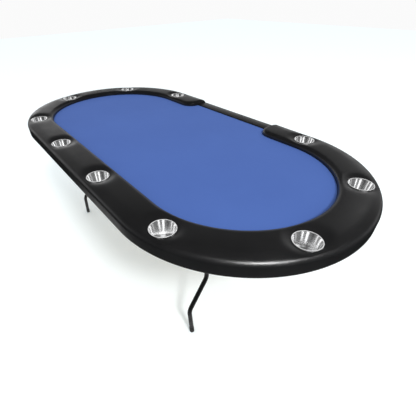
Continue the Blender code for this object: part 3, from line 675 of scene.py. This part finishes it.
def open_cup_holes(obj, inset):
    """Cut a round, tucked-in hole under each cup's rim."""
    shape = bmesh.new()
    shape.from_mesh(obj.data)
    bmesh.ops.remove_doubles(shape, verts=shape.verts, dist=0.00004)
    lowest = CLOTH_TOP - 0.001
    doomed = []
    for face in shape.faces:
        middle = face.calc_center_median()
        if middle.z > lowest and nearest_cup(middle)[1] < TUCK_RADIUS + 0.0008:
            doomed.append(face)
    bmesh.ops.delete(shape, geom=doomed, context="FACES")
    ring = []
    for edge in shape.edges:
        middle = (edge.verts[0].co + edge.verts[1].co) / 2
        if edge.is_boundary and middle.z > lowest and nearest_cup(middle)[1] < TUCK_RADIUS + 0.012:
            ring.append(edge)
    for vert in {vert for edge in ring for vert in edge.verts}:
        (cup_x, cup_y), _ = nearest_cup(vert.co)
        away = Vector((vert.co.x - cup_x, vert.co.y - cup_y)).normalized() * TUCK_RADIUS
        vert.co = (cup_x + away.x, cup_y + away.y, DIMPLE_FLOOR - inset)
    tucked = bmesh.ops.extrude_edge_only(shape, edges=ring)
    for item in tucked["geom"]:
        if isinstance(item, bmesh.types.BMVert):
            item.co.z -= TUCK_DEPTH
    bmesh.ops.recalc_face_normals(shape, faces=shape.faces)
    store(shape, obj).data.shade_smooth()


def add_thickness(obj, thickness, offset=-1.0):
    skin = obj.modifiers.new("skin", "SOLIDIFY")
    skin.thickness = thickness
    skin.offset = offset


# ---------------------------------------------------------------- rail, cloth and strip
def make_rail():
    """The vinyl cover, whose foot hangs just below the board, and the padding inside it."""
    cover = rail_shell("rail_leatherette", 0.0, BOARD_UNDER - 0.0028, CLOTH_TOP - 0.003, UNDER_ROLL, VINYL)
    add_thickness(cover, VINYL_THICK)
    finish_piece(cover, "table", "vinyl", "rail_cover")
    pad = rail_shell("rail_padding", PADDING_INSET, FOAM_FOOT, FOAM_FOOT, 0.0, FOAM)
    finish_piece(pad, "table", "foam", "rail_foam")


def field_outline(inset):
    """The cloth's outline in plan, the same edge as the rail's inner one and the dealer's strip."""
    reach = INNER_RADIUS - inset
    curl = CURL_RADIUS + inset
    half = 97
    quarter_turn = 48
    back = STRIP_INNER_Y - inset
    return np.concatenate([
        line_points((-STRAIGHT_HALF, -reach), (STRAIGHT_HALF, -reach), 61)[:-1],
        arc_points(STRAIGHT_HALF, 0.0, reach, -90, 90, half)[:-1],
        line_points((STRAIGHT_HALF, reach), (CURL_X, reach), 9)[:-1],
        arc_points(CURL_X, CURL_Y, curl, -90, -180, quarter_turn)[:-1],
        line_points((CUTOUT_HALF - inset, back), (-CUTOUT_HALF + inset, back), 41)[:-1],
        arc_points(-CURL_X, CURL_Y, curl, 0, -90, quarter_turn)[:-1],
        line_points((-CURL_X, reach), (-STRAIGHT_HALF, reach), 9)[:-1],
        arc_points(-STRAIGHT_HALF, 0.0, reach, 90, 270, half)[:-1]])


def make_cloth():
    """The stretched cloth: flat in the middle, rolled over a soft edge all round."""
    rows = []
    for inset, drop in ((0.0060, 0.0014), (0.0005, 0.0014), (0.0006, 0.0009), (0.0010, 0.0004),
                        (0.0018, 0.0001), (0.0030, 0.0)):
        rows.append([(x, y, CLOTH_TOP - drop) for x, y in field_outline(inset)])
    edge = field_outline(0.0030)
    spine = np.stack([np.clip(edge[:, 0], -STRAIGHT_HALF, STRAIGHT_HALF), np.zeros(len(edge))], 1)
    for share in (0.25, 0.5, 0.75, 1.0):
        rows.append([(x, y, CLOTH_TOP) for x, y in edge * (1 - share) + spine * share])
    cloth = face_outwards(skinned("stretched_cloth", rows, CLOTH), 0.00005)
    finish_piece(cloth, "table", "cloth", "playing_cloth")


def make_dealer_strip():
    """The low padded sill across the dealer's place, rolled over the table's edge."""
    half = STRIP_HIGH[0] + SILL_TUCK
    back = STRIP_INNER_Y - 0.0022
    front = STRIP_HIGH[1] - 0.0002
    start = CLOTH_TOP + SILL_RISE
    top = start - 0.0006
    low = BOARD_UNDER
    roll = 0.006
    seam = 0.0045
    section = [(back, CLOTH_TOP - 0.008), (back, start - seam)]
    section += [*arc_points(back + seam, start - seam, seam, 180, 90, 6)[1:]]
    flat = front - roll - back - seam
    crown = 0.0018
    for step in range(1, 16):
        share = step / 16
        rise = math.sin(math.pi * share) * crown + (top - start) * share
        section.append((back + seam + flat * share, start + rise))
    section += [*arc_points(front - roll, top - roll, roll, 90, 0, 9)]
    section += [(front, low + 0.010), (front - 0.0003, low + 0.003), (front - 0.002, low - 0.0006)]
    section += [(front - 0.020, low - 0.0009)]
    rows = []
    for x in np.linspace(-half, half, 121):
        sway = [0.00025 * noise.noise(Vector((x * 9.0, y * 14.0, z * 14.0))) for y, z in section]
        rows.append([(x, y, z + lift) for (y, z), lift in zip(section, sway)])
    strip = skinned("dealer_sill", rows, STRIP_VINYL, closed=False, flip=True)
    add_thickness(strip, VINYL_THICK)
    finish_piece(strip, "table", "vinyl", "dealer_strip_cover")


# ---------------------------------------------------------------- turned pieces
def turned(name, profile, material, steps=64, place=(0.0, 0.0, 0.0), matrix=None):
    """A closed section of (radius, height) points turned round Z, first and last points on the axis."""
    verts = []
    rings = []
    for radius, height in profile:
        count = 1 if radius < 1e-7 else steps
        rings.append(range(len(verts), len(verts) + count))
        for step in range(count):
            angle = 2 * math.pi * step / steps
            verts.append(Vector((radius * math.cos(angle), radius * math.sin(angle), height)))
    faces = []
    for upper, lower in zip(rings, rings[1:]):
        for step in range(steps):
            after = (step + 1) % steps
            corners = (upper[step % len(upper)], lower[step % len(lower)],
                       lower[after % len(lower)], upper[after % len(upper)])
            faces.append(list(dict.fromkeys(corners)))
    spot = matrix if matrix is not None else Matrix.Translation(place)
    faces = [corners for corners in faces if len(corners) > 2]
    return sharpen(face_outwards(add_mesh(name, [spot @ v for v in verts], faces, material)))


def make_cups():
    """Pressed steel cup holders: a slim rolled rim, a tapered well and a ringed base."""
    top = RIM_TOP
    floor = CUP_FLOOR
    roll = 0.0014
    mouth = RIM_RADIUS - 2 * roll - 0.0002
    neck = 0.0410
    base = 0.0372
    section = [(0.0, floor + 0.0012), (0.0205, floor + 0.0012), (0.0213, floor + 0.0019)]
    section += [(0.0229, floor + 0.0019), (0.0237, floor + 0.0012), (base - 0.0040, floor + 0.0012)]
    section += [*arc_points(base - 0.0032, floor + 0.0044, 0.0032, -80, -4, 7)]
    section += [(neck, top - 0.0245), (0.0432, top - 0.0100), (0.0441, top - 0.0045)]
    section += [(mouth - 0.0002, top - 0.0022)]
    section += [*arc_points(RIM_RADIUS - roll, top - roll, roll, 165, -90, 13)]
    section += [(mouth + 0.0003, top - 0.0028), (0.0447, top - 0.0052), (0.0439, top - 0.0104)]
    section += [(neck + 0.0007, top - 0.0249), (base + 0.0007, floor + 0.0044)]
    section += [(base - 0.0026, floor + 0.0001), (0.0, floor + 0.0001)]
    for number, (x, y) in enumerate(CUP_CENTRES, 1):
        cup = turned(f"steel_cup_{number:02d}", section, STEEL, 96)
        cup.location = (x, y, 0.0)
        finish_piece(cup, f"cup_{number:02d}", "stainless", f"cup_holder_{number:02d}")


# ---------------------------------------------------------------- folding legs
LEG_LEAN = math.radians(8.2)
TUBE_RADIUS = 0.0110
TUBE_WALL = 0.0015
FLANGE_THICK = 0.003             # of the saddles and brackets, where their screws sit
LEG_TOP_Y = 0.210
LEG_FOOT_Y = 0.334
FOOT_STRAIGHT = 0.149
BEND_STRAIGHT = 0.146
LEG_BEND_RADIUS = 0.060
BAR_RADIUS = 0.011
BAR_HALF = 0.242
CROSSBAR_DOWN = 0.260
CROSSBAR_RADIUS = 0.008
CAP_RADIUS = 0.0119


def circle(centre, across, up, radius, steps, matrix):
    """Points of a circle in the plane of two directions."""
    angles = [2 * math.pi * step / steps for step in range(steps)]
    return [matrix @ (centre + (across * math.cos(a) + up * math.sin(a)) * radius) for a in angles]


def rounded_path(corners, radius, steps=12):
    """Corners joined by straight lines, with an arc in place of each inner corner."""
    corners = [Vector(c) for c in corners]
    path = [corners[0]]
    for before, corner, after in zip(corners, corners[1:], corners[2:]):
        to_before = (before - corner).normalized()
        to_after = (after - corner).normalized()
        half = to_before.angle(to_after) / 2
        middle = (to_before + to_after).normalized()
        centre = corner + middle * (radius / math.sin(half))
        reach = radius / math.tan(half)
        first = (corner + to_before * reach - centre).normalized()
        last = (corner + to_after * reach - centre).normalized()
        for step in range(steps + 1):
            path.append(centre + first.slerp(last, step / steps) * radius)
    path.append(corners[-1])
    return path


def swept_tube(name, path, radius, matrix, sides=32):
    """A round, hollow, powder-coated tube with open ends, along a path that stays in one plane."""
    last = len(path) - 1
    rows = []
    for reach, order in ((radius, range(last + 1)), (radius - TUBE_WALL, range(last, -1, -1))):
        for index in order:
            along = (path[min(index + 1, last)] - path[max(index - 1, 0)]).normalized()
            side = Vector((0.0, 0.0, 1.0) if abs(along.x) > 0.9 else (1.0, 0.0, 0.0))
            up = along.cross(side).normalized()
            side = up.cross(along).normalized()
            rows.append(circle(path[index], side, up, reach, sides, matrix))
    return sharpen(face_outwards(skinned(name, rows, POWDER, loop=True)), 50)


def weld_bead(name, centre, ring_radius, axis, bead, matrix, cling=None):
    """A lumpy ring of weld round a joint; cling moves each point onto the other tube."""
    axis = Vector(axis).normalized()
    side = axis.orthogonal().normalized()
    up = axis.cross(side)
    steps = 72
    rows = []
    for step in range(steps):
        angle = 2 * math.pi * step / steps
        outward = side * math.cos(angle) + up * math.sin(angle)
        spot = Vector(centre) + outward * ring_radius
        if cling is not None:
            spot = cling(spot)
        size = bead * (1.0 + 0.22 * math.sin(step * 2.6) + 0.10 * math.sin(step * 5.3 + 1.0))
        rows.append(circle(spot, outward, axis, size, 8, matrix))
    return skinned(name, rows, POWDER, flip=True, loop=True)


def leg_matrix(side):
    """Where a leg set's own frame lies: origin on its pivot, legs along -Z, leaning outwards."""
    place = joint_place("leg_fold_a" if side > 0 else "leg_fold_b")
    turn = Matrix.Rotation(0.0 if side > 0 else math.pi, 4, "Z")
    return Matrix.Translation(place) @ turn @ Matrix.Rotation(-LEG_LEAN, 4, "Y")


def onto_bar(spot):
    """Where a point under the pivot bar touches the bar's surface."""
    reach = BAR_RADIUS + 0.0005
    offset = max(min(spot.x, reach), -reach)
    return Vector((spot.x, spot.y, -math.sqrt(max(reach ** 2 - offset ** 2, 0.0)) - 0.0006))


def make_foot_cap(name, hand, matrix, length, body, node):
    """A rubber ferrule with moulded rings, cut level with the floor."""
    low = -length - 0.0018
    high = -length + 0.034
    bore = TUBE_RADIUS + 0.0003
    groove = CAP_RADIUS - 0.0006
    section = [(0.0, low + 0.007), (bore, low + 0.007), (bore, high - 0.0008), (bore + 0.0004, high)]
    section += [(groove, high), (CAP_RADIUS, high - 0.0008), (CAP_RADIUS, high - 0.0035)]
    section += [(groove, high - 0.0042), (groove, high - 0.0052), (CAP_RADIUS, high - 0.0060)]
    section += [*arc_points(CAP_RADIUS - 0.0045, low + 0.0060, 0.0045, 0, -90, 8)]
    section += [(CAP_RADIUS - 0.0075, low), (0.0, low)]
    place = matrix @ Matrix.Translation((0.0, hand * LEG_FOOT_Y, 0.0))
    cap = turned(name, section, RUBBER, 48, matrix=place)
    for vert in cap.data.vertices:
        vert.co.z = max(vert.co.z, 0.0)
    finish_piece(cap, body, "rubber", node)


def make_leg_set(set_name, side):
    """One folding frame: pivot tube, two bent legs with rubber feet, crossbar and welds."""
    body = "leg_set_" + set_name
    matrix = leg_matrix(side)
    length = joint_place("leg_fold_" + set_name)[2] / math.cos(LEG_LEAN)
    lower_bend = length - FOOT_STRAIGHT
    upper_bend = lower_bend - BEND_STRAIGHT
    for label, world_hand in SIDES:
        hand = world_hand * side
        ending = f"{set_name}_{label}"
        corners = [(0.0, hand * LEG_TOP_Y, -0.0096), (0.0, hand * LEG_TOP_Y, -upper_bend),
                   (0.0, hand * LEG_FOOT_Y, -lower_bend), (0.0, hand * LEG_FOOT_Y, -length + 0.007)]
        tube = swept_tube("bent_leg_" + ending, rounded_path(corners, LEG_BEND_RADIUS), TUBE_RADIUS, matrix)
        finish_piece(tube, body, "painted_steel", "leg_tube_" + ending)
        make_foot_cap("rubber_foot_" + ending, hand, matrix, length, body, "foot_cap_" + ending)
        top = weld_bead("top_weld_" + ending, (0.0, hand * LEG_TOP_Y, -0.011), TUBE_RADIUS + 0.0004,
                        (0, 0, 1), 0.0016, matrix, onto_bar)
        finish_piece(top, body, "painted_steel")
        meet = (0.0, hand * (LEG_TOP_Y - TUBE_RADIUS - 0.0004), -CROSSBAR_DOWN)
        bead = weld_bead("bar_weld_" + ending, meet, CROSSBAR_RADIUS + 0.0004, (0, 1, 0), 0.0014, matrix)
        finish_piece(bead, body, "painted_steel")
    cross_half = LEG_TOP_Y - TUBE_RADIUS + 0.0012
    for name, node, half, height, radius in (("pivot_tube_", "pivot_bar_", BAR_HALF, 0.0, BAR_RADIUS),
                                             ("cross_tube_", "crossbar_", cross_half, -CROSSBAR_DOWN,
                                              CROSSBAR_RADIUS)):
        path = [Vector((0.0, y, height)) for y in (-half, 0.0, half)]
        bar = swept_tube(name + set_name, path, radius, matrix)
        finish_piece(bar, body, "painted_steel", node + set_name)
    keep_node("brace_lug_" + set_name, POWDER, 0.0006)


def make_braces(set_name):
    """The folding brace stays as in the CAD, with softened edges."""
    for node in ("upper_brace_", "lower_brace_", "brace_bracket_"):
        keep_node(node + set_name, POWDER, 0.0007)
    for node in ("knee_rivet_", "brace_pin_table_", "brace_pin_leg_"):
        keep_node(node + set_name, ZINC, 0.0006)


# ---------------------------------------------------------------- underside woodwork and fixings
def screw_head(size):
    """Section of a pan head, from its top centre to its flat underside."""
    shares = ((0.0, 0.62), (0.35, 0.60), (0.70, 0.47), (0.93, 0.24), (1.0, 0.0), (0.0, 0.0))
    return [(size * radius, size * height) for radius, height in shares]


def cut_recess(head, matrix, size):
    """Cut the crossed slots of a screwdriver recess into a screw's head."""
    for angle in (0.0, math.pi / 2):
        slot = matrix @ Matrix.Rotation(angle, 4, "Z") @ Matrix.Translation((0, 0, size * 0.66))
        cutter = add_blocks("slot", [slot @ Matrix.Diagonal((size * 1.1, size * 0.22, size * 0.5, 1.0))])
        cut = head.modifiers.new("recess", "BOOLEAN")
        cut.object = cutter
        cut.solver = "EXACT"
        bake_modifiers(head)
        bpy.data.objects.remove(cutter, do_unlink=True)


def make_screws(name, places, size):
    """A row of cross-recessed screw heads under the table, as one piece."""
    downwards = Vector((0, 0, 1)).rotation_difference(Vector((0, 0, -1))).to_matrix().to_4x4()
    heads = []
    for place in places:
        spin = Matrix.Rotation(RNG.uniform(0, math.pi), 4, "Z")
        matrix = Matrix.Translation(place) @ downwards @ spin
        head = turned(name + "_head", screw_head(size), ZINC, 24, matrix=matrix)
        cut_recess(head, matrix, size)
        heads.append(head)
    finish_piece(join(name, heads), "table", "zinc_steel")


def bake_modifiers(obj):
    """Put the result of an object's modifiers into its mesh."""
    bpy.context.view_layer.update()
    evaluated = obj.evaluated_get(bpy.context.evaluated_depsgraph_get())
    mesh = bpy.data.meshes.new_from_object(evaluated)
    obj.modifiers.clear()
    obj.data = mesh


def join(name, objects):
    """Turn some objects of one material into a single one."""
    shape = bmesh.new()
    material = objects[0].data.materials[0]
    for obj in objects:
        shape.from_mesh(obj.data)
        bpy.data.objects.remove(obj, do_unlink=True)
    made = store(shape, add_mesh(name, [], [], material))
    made.data.shade_smooth()
    return sharpen(made, 35)


def make_hem():
    """The vinyl turned under the base board's edge and stapled."""
    under = BOARD_UNDER
    bands = ((END_RADIUS - 0.0010, under + 0.0010), (END_RADIUS - 0.0022, under - 0.0007),
             (END_RADIUS - 0.0060, under - 0.0011), (END_RADIUS - 0.0210, under - 0.0011),
             (END_RADIUS - 0.0222, under - 0.0004))
    half = 150
    rows = []
    for reach, height in bands:
        points = np.concatenate([arc_points(STRAIGHT_HALF, 0.0, reach, -90, 90, half),
                                 line_points((STRAIGHT_HALF, reach), (-STRAIGHT_HALF, reach), 90)[1:-1],
                                 arc_points(-STRAIGHT_HALF, 0.0, reach, 90, 270, half),
                                 line_points((-STRAIGHT_HALF, -reach), (STRAIGHT_HALF, -reach), 90)[1:-1]])
        ripples = [0.00035 * noise.noise(Vector((x * 40.0, y * 40.0, reach * 30.0))) for x, y in points]
        rows.append([(x, y, height + ripple) for (x, y), ripple in zip(points, ripples)])
    hem = skinned("stapled_hem", rows, VINYL, flip=True)
    add_thickness(hem, 0.0004, 1.0)
    finish_piece(hem, "table", "vinyl")
    make_staples(under - 0.0015)


def make_staples(height):
    """A row of wire staples round the hem, each a little askew."""
    reach = END_RADIUS - 0.0135
    spacing = 0.045
    places = []
    count = int(math.pi * reach / spacing)
    for side in (1, -1):
        for step in range(count + 1):
            angle = math.radians(-90 + 180 * step / count)
            places.append((side * (STRAIGHT_HALF + reach * math.cos(angle)), reach * math.sin(angle),
                           math.atan2(math.cos(angle), -math.sin(angle) * side)))
    count = int(2 * STRAIGHT_HALF / spacing)
    for y in (reach, -reach):
        for step in range(1, count):
            places.append((-STRAIGHT_HALF + 2 * STRAIGHT_HALF * step / count, y, 0.0))
    matrices = []
    for x, y, angle in places:
        turn = Matrix.Rotation(angle + RNG.uniform(-0.15, 0.15), 4, "Z")
        wire = Matrix.Diagonal((0.0105, 0.0011, 0.0006, 1.0))
        matrices.append(Matrix.Translation((x, y, height - 0.0001)) @ turn @ wire)
    finish_piece(add_blocks("hem_staples", matrices, ZINC), "table", "zinc_steel")


def make_rail_bolts():
    """Hexagon-headed bolts, each on a washer."""
    seat = BOARD_UNDER - 0.0003
    face = seat - 0.0017
    rim = 0.0108
    washer = [(0.0, seat), (rim - 0.0003, seat), (rim, seat - 0.0004), (rim, seat - 0.0014)]
    washer += [(rim - 0.0004, face), (0.0, face)]
    shank = 0.004
    corner = 0.0074
    for number in range(1, 7):
        node = f"rail_bolt_{number}"
        low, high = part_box(node)
        x, y, _ = box_centre(node)
        ring = turned(f"washer_{number}", washer, ZINC, 40, (x, y, 0.0))
        finish_piece(ring, "table", "zinc_steel")
        bolt = [(0.0, high[2]), (shank, high[2]), (shank, face - 0.0001), (corner, face - 0.0001)]
        bolt += [(corner, low[2] + 0.0008), (corner - 0.0008, low[2]), (0.0, low[2])]
        hexagon = turned(f"hex_bolt_{number}", bolt, ZINC, 6, (x, y, 0.0))
        finish_piece(hexagon, "table", "zinc_steel", node)


def make_underside():
    """Boards, battens, blocks, saddles and brackets stay as in the CAD; screws are added to them."""
    for node in ("base_board", "playfield_board", "rail_core", "dealer_strip_core"):
        keep_node(node, PLY)
    keep_node("playfield_foam", FOAM)
    for node in ("side_batten_dealer", "side_batten_player"):
        keep_node(node, HARDWOOD_X, 0.0025)
        low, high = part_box(node)
        y = (low[1] + high[1]) / 2
        places = [(x, y, low[2]) for x in np.linspace(low[0] + 0.04, high[0] - 0.04, 6)]
        make_screws(node + "_screws", places, 0.0042)
    for set_name, side in LEG_SETS:
        block = "leg_block_" + set_name
        keep_node(block, HARDWOOD_Y, 0.003)
        x, _, _ = box_centre(block)
        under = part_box(block)[0][2]
        places = [(x + dx, y, under) for y in (-0.25, -0.085, 0.085, 0.25) for dx in (-0.030, 0.030)]
        make_screws(block + "_screws", places, 0.0042)
        for label, _ in SIDES:
            node = f"pivot_saddle_{set_name}_{label}"
            keep_node(node, POWDER, 0.0006)
            y = box_centre(node)[1]
            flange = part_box(node)[1][2] - FLANGE_THICK
            make_screws(node + "_screws", [(x - 0.026, y, flange), (x + 0.026, y, flange)], 0.0038)
        bracket = "brace_bracket_" + set_name
        x, _, _ = box_centre(bracket)
        y = side * 0.0195
        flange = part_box(bracket)[1][2] - FLANGE_THICK
        make_screws("bracket_screws_" + set_name, [(x - 0.017, y, flange), (x + 0.017, y, flange)], 0.0036)


# ---------------------------------------------------------------- studio
def make_floor():
    """A pale matt floor that in reflections shows as a painted glow: darker, but brightest right below the
    table's edge.
    """
    size = 14.0
    corners = [(-size, -size, 0), (size, -size, 0), (size, size, 0), (-size, size, 0)]
    floor = add_mesh("floor", corners, [(0, 1, 2, 3)], smooth=False)
    material = bpy.data.materials.new("pale_floor")
    material.use_nodes = True
    material.node_tree.nodes.clear()
    n = Nodes(material.node_tree)
    matt = n.node("BsdfDiffuse", Color=(*FLOOR_COLOUR, 1.0))
    lift = n.node("Emission", Color=(*FLOOR_LIFT, 1.0))
    seen = n.node("AddShader")
    n.link(matt.outputs["BSDF"], seen.inputs[0])
    n.link(lift.outputs["Emission"], seen.inputs[1])

    place = n.parts(n.node("NewGeometry").outputs["Position"])
    past_end = n.math("MAXIMUM", n.math("SUBTRACT", n.math("ABSOLUTE", place["X"], 0.0), STRAIGHT_HALF), 0.0)
    squares = n.math("ADD", n.math("POWER", past_end, 2.0), n.math("MULTIPLY", place["Y"], place["Y"]))
    reach = n.math("SQRT", squares, 0.0)
    near, far = (END_RADIUS + distance for distance in FLOOR_FADE)
    # painted reflection: glossy rays see this glow instead of the lit floor
    mirrored = n.glow(n.ramp(reach, near, far, FLOOR_NEAR, FLOOR_AWAY, soft=True))
    glossy = n.node("LightPath").outputs["Is Glossy Ray"]
    both = n.either(glossy, seen.outputs["Shader"], mirrored)
    n.link(both, n.node("OutputMaterial").inputs["Surface"])
    floor.data.materials.append(material)


def make_world():
    """White to the eye, even light on matt surfaces and a graded studio in reflections."""
    world = bpy.data.worlds.new("studio")
    bpy.context.scene.world = world
    world.use_nodes = True
    world.node_tree.nodes.clear()
    n = Nodes(world.node_tree)
    path = n.node("LightPath").outputs
    view = n.node("TexCoord").outputs["Generated"]
    horizon = n.ramp(n.parts(view)["Z"], 0.12, 0.46, SKY_HORIZON, SKY_DIM, soft=True)
    beyond_end = n.ramp(n.along(view, BEYOND_END), 0.955, 0.985, 0.80, 1.7, soft=True)
    camera_side = n.ramp(n.along(view, CAMERA_SIDE), -0.3, 0.4, 1.0, 0.12, soft=True)
    brightness = n.math("MULTIPLY", n.math("MULTIPLY", horizon, beyond_end), camera_side)
    mirrored = n.glow(brightness, "Background")
    even = n.node("Background", Strength=SKY_DIFFUSE)
    seen = n.node("Background", Strength=SKY_SEEN)
    light = n.either(path["Is Glossy Ray"], even.outputs["Background"], mirrored)
    both = n.either(path["Is Camera Ray"], light, seen.outputs["Background"])
    n.link(both, n.node("OutputWorld").inputs["Surface"])


def direction(azimuth, elevation):
    """A unit vector; azimuth is measured from +X towards +Y, both in degrees."""
    turn = math.radians(azimuth)
    rise = math.radians(elevation)
    return Vector((math.cos(turn) * math.cos(rise), math.sin(turn) * math.cos(rise), math.sin(rise)))


def area_light(name, azimuth, elevation, distance, size, power, target=(0.0, 0.0, RIM_TOP)):
    """A soft box aimed at the table."""
    light = bpy.data.lights.new(name, "AREA")
    light.shape = "RECTANGLE"
    light.size = size[0]
    light.size_y = size[1]
    light.energy = power
    obj = in_scene(name, light)
    away = direction(azimuth, elevation)
    obj.location = Vector(target) + away * distance
    obj.rotation_euler = away.to_track_quat("Z", "Y").to_euler()
    return obj


def shine_only(light, names):
    """Let a light show only as a reflection, and only in the named pieces."""
    light.visible_diffuse = False
    lit = bpy.data.collections.new(light.name + "_receivers")
    for name in names:
        lit.objects.link(bpy.data.objects[name])
    light.light_linking.receiver_collection = lit


def make_lights():
    """One soft key light, and two soft boxes that only show as reflections in the rail."""
    key = area_light("key_softbox", azimuth=-14, elevation=41, distance=9.0, size=(1.4, 1.4), power=450)
    key.visible_glossy = False
    edge = area_light("edge_softbox", azimuth=-11, elevation=44, distance=2.4, size=(0.9, 0.6), power=7.4,
                      target=(0.92, -0.40, RIM_TOP))
    edge.data.spread = math.radians(36)
    end = area_light("end_softbox", azimuth=104, elevation=30, distance=4.5, size=(0.8, 0.8), power=2.6,
                     target=(1.05, 0.20, RIM_TOP))
    for light in (edge, end):
        shine_only(light, ["rail_leatherette"])


def make_camera():
    """The camera at the fitted place, turned and rolled by the fitted angles."""
    roll = math.radians(CAMERA_ROLL)
    back = direction(CAMERA_AZIMUTH - 90, CAMERA_ELEVATION)
    right = (-back).cross(Vector((0, 0, 1))).normalized()
    up = right.cross(-back)
    turned_right = right * math.cos(roll) + up * math.sin(roll)
    turned_up = up * math.cos(roll) - right * math.sin(roll)
    data = bpy.data.cameras.new("camera")
    data.sensor_width = 36.0
    data.lens = CAMERA_LENS
    data.shift_x, data.shift_y = CAMERA_SHIFT
    data.clip_end = 60.0
    camera = in_scene("camera", data)
    matrix = Matrix((turned_right, turned_up, back)).transposed().to_4x4()
    camera.matrix_world = Matrix.Translation(CAMERA_PLACE) @ matrix
    bpy.context.scene.camera = camera


# ---------------------------------------------------------------- build
make_rail()
make_cloth()
make_dealer_strip()
make_cups()
make_hem()
make_rail_bolts()
make_underside()
for leg_set, leg_side in LEG_SETS:
    make_leg_set(leg_set, leg_side)
    make_braces(leg_set)
make_floor()
make_world()
make_lights()
make_camera()
bpy.context.scene.view_settings.view_transform = "Standard"
